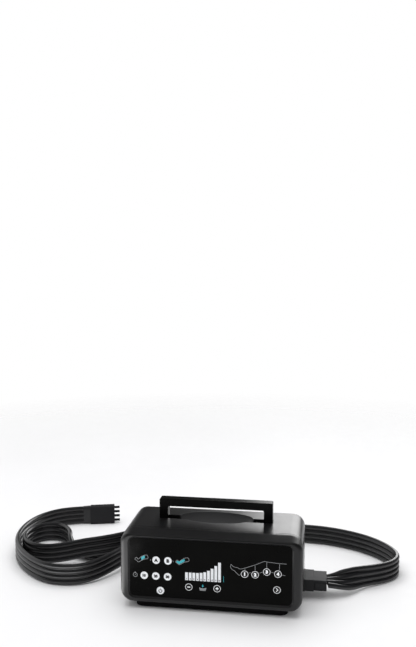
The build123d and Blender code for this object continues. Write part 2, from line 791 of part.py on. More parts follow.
# ---------------------------------------------------------------- hose port
with BuildPart() as hose_port:
    with BuildSketch(facing_right(port_inner_x, port_y, port_z)):
        RectangleRounded(port_width, port_height, port_cavity_wall)
    extrude(amount=x_port_face - port_inner_x)
    with BuildSketch(facing_right(x_cavity_floor, port_y, port_z)):
        RectangleRounded(cavity_width, cavity_height, port_cavity_wall / 2)
    extrude(amount=port_cavity_depth, mode=Mode.SUBTRACT)
    with BuildSketch(facing_right(port_inner_x - nipple_length, port_y, port_z)):
        with GridLocations(tube_pitch, 1.0, tube_count, 1):
            Circle(nipple_radius)
    extrude(amount=x_cavity_floor + nipple_length - port_inner_x + nipple_length)
    with BuildSketch(facing_right(port_inner_x - nipple_length, port_y, port_z)):
        with GridLocations(tube_pitch, 1.0, tube_count, 1):
            Circle(nipple_bore)
    extrude(amount=x_cavity_floor + 2 * nipple_length - port_inner_x, mode=Mode.SUBTRACT)
finish(hose_port, "hose_port")

# ---------------------------------------------------------------- hose plug and its latch
latch_x = x_plug_body + latch_inset
y_plug_front = port_y - plug_body_width / 2
latch_pin_y = y_plug_front + latch_pocket / 2

with BuildPart() as hose_plug:
    with BuildSketch(facing_right(x_plug_head, port_y, port_z)):
        RectangleRounded(plug_head_width, plug_head_height, plug_round)
    extrude(amount=plug_head_length)
    fillet(hose_plug.faces().sort_by(Axis.X)[-1].edges(), plug_round / 2)
    with BuildSketch(facing_right(x_plug_body - plug_round, port_y, port_z)):
        RectangleRounded(plug_body_width, plug_body_height, plug_round)
    extrude(amount=plug_body_length + plug_round)
    fillet(hose_plug.faces().sort_by(Axis.X)[-1].edges(), plug_round / 2)
    with BuildSketch(facing_right(x_plug_head, port_y, port_z)):
        nose_width = cavity_width - 2 * plug_nose_play
        RectangleRounded(nose_width, cavity_height - 2 * plug_nose_play, plug_round / 2)
    extrude(amount=-plug_nose_length)
    with BuildSketch(facing_right(x_plug_head - plug_nose_length, port_y, port_z)):
        with GridLocations(tube_pitch, 1.0, tube_count, 1):
            Circle(nipple_radius + nipple_play)
    extrude(amount=plug_nose_length + plug_head_length, mode=Mode.SUBTRACT)
    # Pocket for the latch lever in the front face, with its pivot pin across it.
    with BuildSketch(level(port_z - latch_height / 2 - latch_gap, x=latch_x, y=y_plug_front)):
        with Locations((latch_length / 2, 0)):
            Rectangle(latch_length + 2 * latch_gap, 2 * latch_pocket)
    extrude(amount=latch_height + 2 * latch_gap, mode=Mode.SUBTRACT)
    with BuildSketch(level(port_z - latch_height / 2 - latch_gap, x=latch_x, y=latch_pin_y)):
        with Locations((latch_thickness, 0)):
            Circle(latch_pin_radius)
    extrude(amount=latch_height + 2 * latch_gap)
finish(hose_plug, "hose_plug")

with BuildPart() as plug_latch:
    with BuildSketch(level(port_z - latch_height / 2, x=latch_x, y=latch_pin_y)):
        with Locations((latch_length / 2, -latch_pocket / 2 - latch_proud + latch_thickness / 2)):
            Rectangle(latch_length, latch_thickness)
        with Locations((latch_thickness, 0)):
            Circle(latch_eye_radius)
        with Locations((latch_thickness, 0)):
            Circle(latch_pin_radius + latch_pin_play, mode=Mode.SUBTRACT)
    extrude(amount=latch_height)
finish(plug_latch, "plug_latch")


# ---------------------------------------------------------------- hose ribbons
def heading_between(start, end):
    """Unit vector from one route point to the next."""
    return (Vector(*end) - Vector(*start)).normalized()


def ribbon_plane(point, heading, tilt):
    """Section plane of a ribbon at a point. A tilt of 0 lays it flat, 90 stands it on edge."""
    up = Vector(0, 0, 1)
    across = up.cross(heading).normalized()
    lifted = heading.cross(across).normalized()
    turn = Vector(1, 0, 0).rotate(Axis.Z, tilt)
    width_way = across * turn.X + lifted * turn.Y
    return Plane(origin=point, x_dir=width_way, z_dir=heading)


def bend_radii(route):
    """Radius of the arc at each inner point of a route: as large as its two runs allow."""
    radii = []
    for before, here, after in zip(route, route[1:], route[2:]):
        run_in = Vector(*here) - Vector(*before)
        run_out = Vector(*after) - Vector(*here)
        turn = radians(run_in.get_angle(run_out))
        radii.append(ribbon_bend_share * min(run_in.length, run_out.length) / tan(turn / 2))
    return radii


def ribbon_sweep(route, tilt):
    """Ribbon swept along a route, on edge or flat all the way."""
    with BuildPart() as run:
        with BuildLine() as path:
            FilletPolyline(*route, radius=bend_radii(route))
        with BuildSketch(ribbon_plane(route[0], heading_between(route[0], route[1]), tilt)):
            RectangleRounded(ribbon_width, ribbon_thickness, ribbon_edge_round)
        sweep(path=path.wire())
    return run.part


def ribbon_twist(stations):
    """Ribbon lofted through stations of point, the point it heads for and tilt."""
    with BuildPart() as run:
        for point, toward, tilt in stations:
            with BuildSketch(ribbon_plane(point, heading_between(point, toward), tilt)):
                RectangleRounded(ribbon_width, ribbon_thickness, ribbon_edge_round)
        loft()
    return run.part


plug_exit = (x_plug_end, port_y, port_z)
# The ribbon leaves the plug flat and turns onto its edge: point, where it heads, tilt.
main_twist = [
    (plug_exit, (x_plug_end + heading_reach, port_y, port_z), lying_flat),
    ((186.0, 33.0, 21.0), (196.0, 37.5, 21.0), 20),
    ((202.0, 42.0, 20.6), (212.0, 49.5, 20.4), 50),
    ((219.0, 56.0, 19.6), (229.0, 63.5, 19.2), 76),
    ((236.0, 68.0, 18.4), (262.0, 85.0, 17.2), 90),
]
main_route = [
    (236.0, 68.0, 18.4),
    (262.0, 85.0, 17.2),
    (279.0, 103.0, 17.0),
    (286.0, 126.0, 17.0),
    (280.0, 152.0, 17.0),
    (264.0, 178.0, 17.0),
    (240.0, 202.0, 17.0),
    (208.0, 221.0, 17.0),
    (172.0, 234.0, 17.0),
    (134.0, 239.0, 17.0),
    (98.0, 239.0, 17.0),
]
x_splitter = main_route[-1][0]
y_splitter = main_route[-1][1]
x_branches = x_splitter - splitter_length
branch_a_route = [
    (x_branches, y_splitter - branch_spread / 2, 17.0),
    (4.0, 233.0, 17.0),
    (-32.0, 222.0, 17.2),
    (-66.0, 206.0, 17.8),
    (-97.0, 182.0, 19.0),
    (-123.0, 152.0, 21.0),
    (-145.0, 119.0, 23.0),
    (-162.0, 85.0, 24.0),
    (-177.0, 53.0, 22.5),
    (-194.0, 26.0, 19.5),
    (-216.0, 8.0, 17.4),
    (-242.0, 1.0, 17.0),
    (-269.0, 3.0, 17.0),
    (-296.0, 18.0, 17.0),
    (-323.0, 42.0, 17.0),
    (-347.0, 72.0, 17.0),
    (-364.0, 106.0, 17.0),
    (-373.0, 144.0, 17.0),
    (-374.0, 184.0, 17.0),
    (-365.0, 221.0, 17.0),
    (-345.0, 251.0, 17.0),
    (-316.0, 269.0, 17.0),
    (-284.0, 277.0, 17.4),
]
branch_b_route = [
    (x_branches, y_splitter + branch_spread / 2, 17.0),
    (2.0, 245.0, 17.0),
    (-36.0, 239.0, 19.0),
    (-72.0, 227.0, 22.0),
    (-106.0, 206.0, 25.5),
    (-134.0, 178.0, 27.6),
    (-158.0, 148.0, 28.0),
    (-182.0, 122.0, 28.0),
    (-209.0, 103.0, 27.6),
    (-238.0, 91.0, 26.0),
    (-266.0, 82.0, 21.5),
    (-293.0, 77.0, 18.0),
    (-320.0, 80.0, 17.0),
    (-343.0, 95.0, 17.0),
    (-357.0, 121.0, 17.0),
    (-358.0, 152.0, 17.0),
    (-344.0, 177.0, 17.0),
    (-318.0, 185.0, 17.0),
    (-295.0, 171.0, 17.0),
    (-281.0, 147.0, 17.0),
]
# Branch B lays itself flat again and passes under its own first stretch.
branch_b_twist = [
    ((-281.0, 147.0, 17.0), (-274.0, 135.0, 17.0), 90),
    ((-272.0, 133.0, 16.6), (-263.0, 122.0, 15.0), 118),
    ((-259.0, 121.0, 12.2), (-247.0, 113.5, 9.0), 148),
    ((-243.0, 114.0, 7.0), (-231.0, 112.0, 5.0), 170),
    ((-226.0, 113.0, 4.4), (-204.0, 117.0, 4.4), 180),
]
branch_b_flat = [
    (-226.0, 113.0, 4.4),
    (-204.0, 117.0, 4.4),
    (-184.0, 130.0, 4.4),
    (-171.0, 151.0, 4.4),
    (-163.0, 176.0, 4.4),
    (-152.0, 201.0, 4.4),
    (-134.0, 223.0, 4.6),
    (-110.0, 241.0, 6.2),
    (-82.0, 254.0, 8.0),
]

with BuildPart() as hose_main:
    add(ribbon_twist(main_twist))
    add(ribbon_sweep(main_route, on_edge))
finish(hose_main, "hose_main")

with BuildPart() as hose_branch_a:
    add(ribbon_sweep(branch_a_route, on_edge))
finish(hose_branch_a, "hose_branch_a")

with BuildPart() as hose_branch_b:
    add(ribbon_sweep(branch_b_route, on_edge))
    add(ribbon_twist(branch_b_twist))
    add(ribbon_sweep(branch_b_flat, lying_flat))
finish(hose_branch_b, "hose_branch_b")

# ---------------------------------------------------------------- splitter and sleeve connectors
with BuildPart() as hose_splitter:
    with BuildSketch(facing_right(x_branches, y_splitter, splitter_height / 2)):
        RectangleRounded(splitter_depth, splitter_height, splitter_round)
    extrude(amount=splitter_length)
    fillet(hose_splitter.faces().filter_by(Axis.X).edges(), splitter_round / 2)
finish(hose_splitter, "hose_splitter")


def sleeve_connector(name, route, tilt):
    """Four-way connector on the free end of a branch, in line with its last run."""
    end_plane = ribbon_plane(route[-1], heading_between(route[-2], route[-1]), tilt)
    with BuildPart() as connector:
        with BuildSketch(end_plane):
            RectangleRounded(connector_width, connector_thickness, connector_round)
        extrude(amount=connector_length)
        with BuildSketch(end_plane.offset(connector_length)):
            with GridLocations(tube_pitch, 1.0, tube_count, 1):
                Circle(nipple_radius)
        extrude(amount=connector_nipple_length)
    finish(connector, name)


sleeve_connector("sleeve_connector_a", branch_a_route, on_edge)
sleeve_connector("sleeve_connector_b", branch_b_flat, lying_flat)

# ---------------------------------------------------------------- mains inlet and its pins
y_inlet_floor = y_back - inlet_depth + inlet_floor
with BuildPart() as mains_inlet:
    with BuildSketch(facing_front(y_back, inlet_x, inlet_z)):
        RectangleRounded(inlet_width, inlet_height, inlet_wall)
    extrude(amount=inlet_depth)
    with BuildSketch(facing_front(y_back - shell_back_wall, inlet_x, inlet_z)):
        RectangleRounded(inlet_width + 2 * inlet_flange, inlet_height + 2 * inlet_flange, inlet_wall)
    extrude(amount=inlet_flange_thickness)
    with BuildSketch(facing_front(y_back, inlet_x, inlet_z)):
        SlotOverall(inlet_width - 2 * inlet_wall, inlet_height - 2 * inlet_wall)
    extrude(amount=inlet_depth - inlet_floor, mode=Mode.SUBTRACT)
    with BuildSketch(facing_front(y_inlet_floor, inlet_x, inlet_z)):
        with GridLocations(inlet_pin_spacing, 1.0, 2, 1):
            Circle(inlet_pin_radius)
    extrude(amount=inlet_floor, mode=Mode.SUBTRACT)
finish(mains_inlet, "mains_inlet")

with BuildPart() as inlet_pins:
    with BuildSketch(facing_front(y_inlet_floor + inlet_pin_length, inlet_x, inlet_z)):
        with GridLocations(inlet_pin_spacing, 1.0, 2, 1):
            Circle(inlet_pin_radius)
    extrude(amount=inlet_pin_length + 2 * inlet_floor)
    fillet(inlet_pins.faces().group_by(Axis.Y)[-1].edges(), inlet_pin_radius / 3)
finish(inlet_pins, "inlet_pins")

# ---------------------------------------------------------------- chassis plate
with BuildPart() as chassis_plate:
    chassis_depth = chassis_back_y - chassis_front_y
    with BuildSketch(level(z_floor_inside, y=(chassis_front_y + chassis_back_y) / 2)):
        Rectangle(2 * chassis_half_width, chassis_depth)
        with Locations((chassis_half_width, port_y - (chassis_front_y + chassis_back_y) / 2)):
            Rectangle(
                2 * (chassis_half_width - port_inner_x + nipple_length + chassis_port_gap),
                port_width + 2 * chassis_port_gap,
                mode=Mode.SUBTRACT,
            )
    extrude(amount=chassis_thickness)
    with BuildSketch(level(z_floor_inside)):
        with four_corners(foot_x, foot_y):
            Circle(foot_screw_radius)
    extrude(amount=chassis_thickness, mode=Mode.SUBTRACT)
finish(chassis_plate, "chassis_plate")

# ---------------------------------------------------------------- compressor
mount_x = compressor_length / 2 - mount_radius
mount_y = compressor_depth / 2 - mount_radius
with BuildPart() as compressor_mounts:
    with BuildSketch(level(z_chassis, compressor_x, compressor_y)):
        with four_corners(mount_x, mount_y):
            Circle(mount_radius)
    extrude(amount=mount_height)
finish(compressor_mounts, "compressor_mounts")

with BuildPart() as compressor_body:
    with BuildSketch(level(z_compressor, compressor_x, compressor_y)):
        Rectangle(compressor_length, compressor_depth)
    extrude(amount=compressor_height)
    with BuildSketch(level(z_compressor + compressor_wall, compressor_x, compressor_y)):
        Rectangle(compressor_length - 2 * compressor_wall, compressor_depth - 2 * compressor_wall)
    extrude(amount=compressor_height, mode=Mode.SUBTRACT)
    with BuildSketch(facing_right(compressor_x - compressor_length / 2, compressor_y, z_compressor_mid)):
        Circle(rod_radius + rod_play)
    extrude(amount=compressor_length, mode=Mode.SUBTRACT)
finish(compressor_body, "compressor_body")

with BuildPart() as compressor_coils:
    coil_half = compressor_depth / 2 - compressor_wall
    with BuildSketch(facing_front(compressor_y + coil_half, compressor_x, z_compressor_mid)):
        Circle(coil_radius)
        Circle(coil_bore, mode=Mode.SUBTRACT)
    extrude(amount=coil_length - magnet_half / 2)
    with BuildSketch(facing_front(compressor_y - coil_half, compressor_x, z_compressor_mid)):
        Circle(coil_radius)
        Circle(coil_bore, mode=Mode.SUBTRACT)
    extrude(amount=-(coil_length - magnet_half / 2))
finish(compressor_coils, "compressor_coils")

rod_half = compressor_length / 2 - rod_stroke - moulding_gap
with BuildPart() as magnet_rod:
    with BuildSketch(facing_right(compressor_x - rod_half, compressor_y, z_compressor_mid)):
        Circle(rod_radius)
    extrude(amount=2 * rod_half)
    with BuildSketch(facing_right(compressor_x - magnet_length, compressor_y, z_compressor_mid)):
        Rectangle(magnet_half * 2, magnet_half * 2)
    extrude(amount=2 * magnet_length)
finish(magnet_rod, "magnet_rod")

with BuildPart() as diaphragms:
    head_radius = compressor_depth / 2 - compressor_wall
    for side in (-1, 1):
        x_end = compressor_x + side * compressor_length / 2
        with BuildSketch(facing_right(x_end, compressor_y, z_compressor_mid)):
            Circle(head_radius)
        extrude(amount=side * diaphragm_thickness)
finish(diaphragms, "diaphragms")

with BuildPart() as compressor_heads:
    for side in (-1, 1):
        x_head = compressor_x + side * (compressor_length / 2 + diaphragm_thickness)
        with BuildSketch(facing_right(x_head, compressor_y, z_compressor_mid)):
            Circle(head_radius)
        extrude(amount=side * head_length)
        with BuildSketch(facing_right(x_head, compressor_y, z_compressor_mid)):
            Circle(head_radius - 2 * compressor_wall)
        extrude(amount=side * head_length / 2, mode=Mode.SUBTRACT)
        with BuildSketch(level(z_compressor_mid, x=x_head + side * head_length / 2, y=compressor_y)):
            Circle(nipple_radius)
        extrude(amount=head_radius + head_port_length)
        with BuildSketch(level(z_compressor_mid, x=x_head + side * head_length / 4, y=compressor_y)):
            Circle(nipple_bore)
        extrude(amount=head_length / 4, mode=Mode.SUBTRACT)
finish(compressor_heads, "compressor_heads")

# ---------------------------------------------------------------- distribution valve
x_spigots = valve_x - valve_radius - valve_spigot_length
z_valve_inlet = port_z + valve_inlet_rise
with BuildPart() as valve_block:
    with BuildSketch(level(z_chassis, valve_x, valve_y)):
        Circle(valve_radius)
    extrude(amount=z_valve_top - z_chassis)
    with BuildSketch(facing_right(x_spigots, valve_y)):
        with Locations((0, port_z)):
            with GridLocations(valve_outlet_pitch, 1.0, tube_count, 1):
                Circle(nipple_radius)
        with Locations((supply_drop_y - valve_y, z_valve_inlet)):
            Circle(nipple_radius)
    extrude(amount=valve_spigot_length + valve_radius)
    with BuildSketch(facing_right(x_spigots, valve_y)):
        with Locations((0, port_z)):
            with GridLocations(valve_outlet_pitch, 1.0, tube_count, 1):
                Circle(nipple_bore)
        with Locations((supply_drop_y - valve_y, z_valve_inlet)):
            Circle(nipple_bore)
    extrude(amount=valve_spigot_length + valve_radius, mode=Mode.SUBTRACT)
    with BuildSketch(level(z_valve, valve_x, valve_y)):
        Circle(rotor_radius + rotor_play)
    extrude(amount=valve_height, mode=Mode.SUBTRACT)
finish(valve_block, "valve_block")

with BuildPart() as valve_rotor:
    with BuildSketch(level(z_valve + rotor_play, valve_x, valve_y)):
        Circle(rotor_radius)
    extrude(amount=valve_height - rotor_shy_height)
    with BuildSketch(level(z_valve + rotor_play, valve_x, valve_y)):
        with Locations((rotor_radius / 2, 0)):
            Circle(rotor_radius / 4)
    extrude(amount=valve_height / 2, mode=Mode.SUBTRACT)
    with BuildSketch(level(z_valve + valve_height - rotor_shy_height, valve_x, valve_y)):
        Circle(rotor_shaft_radius)
    extrude(amount=valve_height / 2)
finish(valve_rotor, "valve_rotor")

with BuildPart() as valve_motor:
    with BuildSketch(level(z_valve_top, valve_x, valve_y)):
        Circle(valve_motor_radius)
    extrude(amount=valve_motor_height)
    with BuildSketch(level(z_valve_top, valve_x, valve_y)):
        Circle(rotor_shaft_radius + rotor_play)
    extrude(amount=valve_height, mode=Mode.SUBTRACT)
finish(valve_motor, "valve_motor")

# ---------------------------------------------------------------- power board
z_power_board = z_chassis + power_post_height
with BuildPart() as power_board:
    with BuildSketch(level(z_power_board, power_board_x, power_board_y)):
        Rectangle(power_board_width, power_board_length)
    extrude(amount=board_thickness)
    with BuildSketch(level(z_power_board + board_thickness, power_board_x, power_board_y)):
        Rectangle(transformer_size[0], transformer_size[1])
    extrude(amount=transformer_size[2])
    with BuildSketch(level(z_power_board + board_thickness, power_board_x, power_board_y)):
        with Locations((0, capacitor_margin + capacitor_radius - power_board_length / 2)):
            Circle(capacitor_radius)
    extrude(amount=capacitor_height)
    with BuildSketch(level(z_chassis, power_board_x, power_board_y)):
        post_half_x = power_board_width / 2 - power_post_inset
        with four_corners(post_half_x, power_board_length / 2 - power_post_inset):
            Circle(power_post_radius)
    extrude(amount=power_post_height)
finish(power_board, "power_board")

# ---------------------------------------------------------------- pressure sensor
with BuildPart() as pressure_sensor:
    with BuildSketch(facing_front(y_board_back, sensor_x, sensor_z)):
        Rectangle(sensor_size[0], sensor_size[1])
    extrude(amount=-sensor_size[2])
    with BuildSketch(facing_front(y_board_back + sensor_size[2], sensor_x, sensor_z)):
        Circle(sensor_nipple_radius)
    extrude(amount=-sensor_nipple_length)
finish(pressure_sensor, "pressure_sensor")


# ---------------------------------------------------------------- air tubes inside the casing
def bent_rod(route, radius, bend):
    """Round rod along a route with one bend radius throughout."""
    with BuildPart() as rod:
        with BuildLine() as path:
            FilletPolyline(*route, radius=bend)
        with BuildSketch(Plane(origin=route[0], z_dir=heading_between(route[0], route[1]))):
            Circle(radius)
        sweep(path=path.wire())
    return rod.part


def bent_tube(routes, bore, wall, bend):
    """Tubes along routes that share one inside."""
    with BuildPart() as tube:
        for route in routes:
            add(bent_rod(route, bore + wall, bend))
        for route in routes:
            add(bent_rod(route, bore, bend), mode=Mode.SUBTRACT)
    return tube.part


inner_bore = nipple_radius + inner_tube_fit
x_nipples = port_inner_x - nipple_length
inner_tube_far_x = x_spigots - inner_tube_reach
shortest_run = port_y - valve_y - (tube_count - 1) / 2 * (tube_pitch + valve_outlet_pitch)
chamber_bend = min(inner_tube_bend, shortest_run / 2 - inner_tube_wall)
with BuildPart() as chamber_tubes:
    for i in range(tube_count):
        spigot_y = valve_y + valve_outlet_pitch * (i - (tube_count - 1) / 2)
        nipple_y = port_y - tube_pitch * (i - (tube_count - 1) / 2)
        far_x = inner_tube_far_x + inner_tube_step * i
        chamber_route = [
            (x_spigots, spigot_y, port_z),
            (far_x, spigot_y, port_z),
            (far_x, nipple_y, port_z),
            (x_nipples, nipple_y, port_z),
        ]
        add(bent_tube([chamber_route], inner_bore, inner_tube_wall, chamber_bend))
finish(chamber_tubes, "chamber_tubes")

z_head_port = z_compressor_mid + compressor_depth / 2 - compressor_wall
supply_z = z_head_port + supply_rise
supply_branch_x = compressor_x + supply_branch_reach
supply_drop_x = x_spigots - supply_drop_reach
head_port_x = compressor_length / 2 + diaphragm_thickness + head_length / 2
supply_arch = [
    (compressor_x - head_port_x, compressor_y, z_head_port),
    (compressor_x - head_port_x, compressor_y, supply_z),
    (compressor_x + head_port_x, compressor_y, supply_z),
    (compressor_x + head_port_x, compressor_y, z_head_port),
]
supply_branch = [
    (supply_branch_x, compressor_y - inner_bore / 2, supply_z),
    (supply_branch_x, supply_drop_y, supply_z),
    (supply_drop_x, supply_drop_y, supply_z),
    (supply_drop_x, supply_drop_y, z_valve_inlet),
    (x_spigots, supply_drop_y, z_valve_inlet),
]
with BuildPart() as supply_tube:
    add(bent_tube([supply_arch, supply_branch], inner_bore, inner_tube_wall, supply_bend))
finish(supply_tube, "supply_tube")

y_sensor_nipple = y_board_back + sensor_size[2]
sensor_tube_y = y_sensor_nipple + sensor_tube_run
sensor_route = [
    (sensor_x, y_sensor_nipple, sensor_z),
    (sensor_x, sensor_tube_y, sensor_z),
    (supply_drop_x, sensor_tube_y, sensor_z),
    (supply_drop_x, supply_drop_y - inner_bore - inner_tube_wall, sensor_z),
]
with BuildPart() as sensor_tube:
    add(bent_tube([sensor_route], sensor_nipple_radius + inner_tube_fit, inner_tube_wall, supply_bend / 2))
finish(sensor_tube, "sensor_tube")
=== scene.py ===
"""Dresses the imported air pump: moulded finishes, panel printing, key legends, hose ribbons, studio."""

import bmesh
import bpy
import numpy as np
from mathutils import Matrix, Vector


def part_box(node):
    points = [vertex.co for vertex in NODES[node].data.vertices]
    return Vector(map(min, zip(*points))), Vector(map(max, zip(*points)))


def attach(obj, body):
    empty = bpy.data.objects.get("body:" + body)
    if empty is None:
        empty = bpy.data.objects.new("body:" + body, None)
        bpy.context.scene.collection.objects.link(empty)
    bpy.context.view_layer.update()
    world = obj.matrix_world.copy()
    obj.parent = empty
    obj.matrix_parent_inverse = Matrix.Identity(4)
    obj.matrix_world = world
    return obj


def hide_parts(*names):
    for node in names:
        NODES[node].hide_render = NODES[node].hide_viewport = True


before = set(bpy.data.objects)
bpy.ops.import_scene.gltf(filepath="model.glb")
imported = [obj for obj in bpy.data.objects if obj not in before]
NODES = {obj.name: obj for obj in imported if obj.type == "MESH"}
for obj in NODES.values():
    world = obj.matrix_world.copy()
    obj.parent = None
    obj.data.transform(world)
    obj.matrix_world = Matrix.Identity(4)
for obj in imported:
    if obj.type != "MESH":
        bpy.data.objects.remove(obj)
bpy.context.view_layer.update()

bl_info = {
    "name": "Air pump dressing",
    "version": (1, 0, 0),
    "blender": (4, 5, 0),
    "location": "3D View > Sidebar > Pump",
    "description": "Finishes, panel printing, hose ribbons and a studio for the packed air pump",
    "category": "Object",
}

MM = 0.001

# Height and tilt of a ribbon that stands on edge on the floor
STANDING = (17.0, 90.0)


def hose_route(*places):
    """Places of a route in metres, each with the ribbon's tilt in degrees, where 0 and 180 lie flat. They
    are given in millimetres. The ribbon is standing where no height or no tilt is given."""
    full = [(*place, *STANDING[len(place) - 2:]) for place in places]
    return [(x * MM, y * MM, z * MM, tilt) for x, y, z, tilt in full]


MAIN_ROUTE = hose_route(
    (169.7, 30, 21.2, 0), (186, 33, 21, 20), (202, 42, 20.6, 50), (219, 56, 19.6, 76), (236, 68, 18.4),
    (262, 85, 17.2), (279, 103), (286, 126), (280, 152), (264, 178), (240, 202), (208, 221), (172, 234),
    (134, 239), (98, 239),
)
BRANCH_A_ROUTE = hose_route(
    (40, 233), (4, 233), (-32, 222, 17.2), (-66, 206, 17.8), (-97, 182, 19), (-123, 152, 21),
    (-145, 119, 23), (-162, 85, 24), (-177, 53, 22.5), (-194, 26, 19.5), (-216, 8, 17.4), (-242, 1),
    (-269, 3), (-296, 18), (-323, 42), (-347, 72), (-364, 106), (-373, 144), (-374, 184), (-365, 221),
    (-345, 251), (-316, 269), (-284, 277, 17.4),
)
BRANCH_B_ROUTE = hose_route(
    (40, 245), (2, 245), (-36, 239, 19), (-72, 227, 22), (-106, 206, 25.5), (-134, 178, 27.6),
    (-158, 148, 28), (-182, 122, 28), (-209, 103, 27.6), (-238, 91, 26), (-266, 82, 21.5), (-293, 77, 18),
    (-320, 80), (-343, 95), (-357, 121), (-358, 152), (-344, 177), (-318, 185), (-295, 171), (-281, 147),
    (-272, 133, 16.6, 118), (-259, 121, 12.2, 148), (-243, 114, 7, 170), (-226, 113, 4.4, 180),
    (-204, 117, 4.4, 180), (-184, 130, 4.4, 180), (-171, 151, 4.4, 180), (-163, 176, 4.4, 180),
    (-152, 201, 4.4, 180), (-134, 223, 4.6, 180), (-110, 241, 6.2, 180), (-82, 254, 8, 180),
)
WHITE_KEYS = ("mode_a_key", "mode_b_key", "timer_10_key", "timer_20_key", "timer_30_key", "power_key")
KEY_WORDS = {
    "mode_a_key": "A",
    "mode_b_key": "B",
    **{f"timer_{minutes}_key": str(minutes) for minutes in (10, 20, 30)},
    **{f"chamber_{number}_key": str(number) for number in (1, 2, 3, 4)},
}
KEYS = (*KEY_WORDS, "power_key", "minus_key", "plus_key", "next_key")


# --- settings
def setting(label, default, note, **limits):
    """A number that a user may change."""
    return bpy.props.FloatProperty(name=label, default=default, description=note, **limits)


def length_setting(label, default, note):
    """A length that a user may change. Its default is given in millimetres and kept in metres."""
    return setting(label, default * MM, note, unit="LENGTH", precision=5)


def power_setting(label, default, note):
    """The power of a light, which a user may change."""
    return setting(label, default, note, unit="POWER", min=0.0)


def colour_setting(label, default, note):
    """A colour that a user may change."""
    return bpy.props.FloatVectorProperty(
        name=label, default=default, subtype="COLOR", size=3, min=0.0, max=1.0, description=note
    )


class PumpPrintSettings(bpy.types.PropertyGroup):
    """Sizes and inks of the panel's printing and of the legends on the keys."""

    thickness: length_setting("Ink thickness", 0.06, "How far the ink stands off the panel")
    line_width: length_setting("Line width", 0.62, "Width of the outline drawings")
    ring_width: length_setting("Ring width", 0.55, "Width of the ring round a black key")
    letter_height: length_setting("Letter height", 5.5, "Height of a letter or a single figure on a key")
    figure_height: length_setting("Figure height", 4.5, "Height of two figures on a key")
    white: colour_setting("White ink", (0.84, 0.86, 0.88), "Ink of the legends on black keys")
    grey: colour_setting("Grey ink", (0.30, 0.31, 0.32), "Ink of the outline drawings")
    teal: colour_setting("Teal ink", (0.045, 0.50, 0.58), "Ink of the marked stretch in each drawing")
    black: colour_setting("Black ink", (0.012, 0.012, 0.014), "Ink of the legends on white keys")


class PumpBezelSettings(bpy.types.PropertyGroup):
    """Form of the bezel from the shell's seam to the panel, and of the skirt under the plinth."""

    corner: length_setting("Corner", 19.0, "Radius of the casing's corners")
    seam_bevel: length_setting("Seam bevel", 0.7, "Small bevel that draws the line of the seam")
    slope_depth: length_setting("Slope depth", 17.0, "Depth of the slope down to the face")
    top_inset: length_setting("Top inset", 5.2, "How far the slope leans in on top")
    side_inset: length_setting("Side inset", 0.4, "How far it leans in at the sides and below")
    shoulder_round: length_setting("Shoulder round", 10.0, "Radius between the shell and the slope")
    top_round: length_setting("Top front round", 2.8, "Radius between the slope and the face on top")
    side_round: length_setting("Side front round", 8.0, "The same radius at the sides")
    low_round: length_setting("Low front round", 6.2, "The same radius below")
    panel_bevel: length_setting("Panel bevel", 2.5, "Width of the slope from the face to the panel")
    panel_corner: length_setting("Panel corner", 8.0, "Radius of the panel's corners")
    panel_ledge: length_setting("Panel ledge", 3.0, "Width of the ledge that carries the panel")
    ring_thickness: length_setting("Ring thickness", 7.5, "Depth of the ring round the panel")
    wall: length_setting("Wall", 2.6, "Wall of the casing")
    skirt_corner: length_setting("Skirt corner", 12.0, "Radius of the plinth's corners")
    skirt_bevel: length_setting("Skirt bevel", 0.3, "How far the skirt's outer face leans in downwards")
    skirt_clearance: length_setting("Skirt clearance", 0.8, "Height of the skirt's edge above the floor")


class PumpHoseSettings(bpy.types.PropertyGroup):
    """Section of the four-tube ribbon and the collars on it."""

    tube_diameter: length_setting("Tube diameter", 8.2, "Outside diameter of one tube")
    tube_pitch: length_setting("Tube pitch", 8.4, "Distance between neighbouring tubes")
    web_thickness: length_setting("Web thickness", 2.4, "Thickness of the web between two tubes")
    collar_length: length_setting("Collar length", 14.0, "Length of each collar on a ribbon's end")
    colour: colour_setting("Hose colour", (0.008, 0.008, 0.009), "Colour of the ribbons")


class PumpFinishSettings(bpy.types.PropertyGroup):
    """Colours of the mouldings."""

    casing: colour_setting("Casing", (0.007, 0.007, 0.0075), "Colour of the bezel, shell and plinth")
    # Painted light: the finger scoop's paler grey stands in for the overhead light caught in the hollow
    scoop: colour_setting("Finger scoop", (0.07, 0.07, 0.072), "Colour of the textured finger scoop")
    handle: colour_setting("Handle", (0.003, 0.003, 0.003), "Colour of the carrying handle")
    panel: colour_setting("Panel", (0.0016, 0.0016, 0.0014), "Colour of the control panel")
    key_white: colour_setting("White keys", (0.80, 0.82, 0.84), "Colour of the white key caps")
    key_black: colour_setting("Black keys", (0.002, 0.002, 0.002), "Colour of the black key caps")
    display: colour_setting("Level bars", (0.84, 0.86, 0.89), "Colour of the level display")
    plug: colour_setting("Plug", (0.024, 0.024, 0.0255), "Colour of the plug and the connectors")


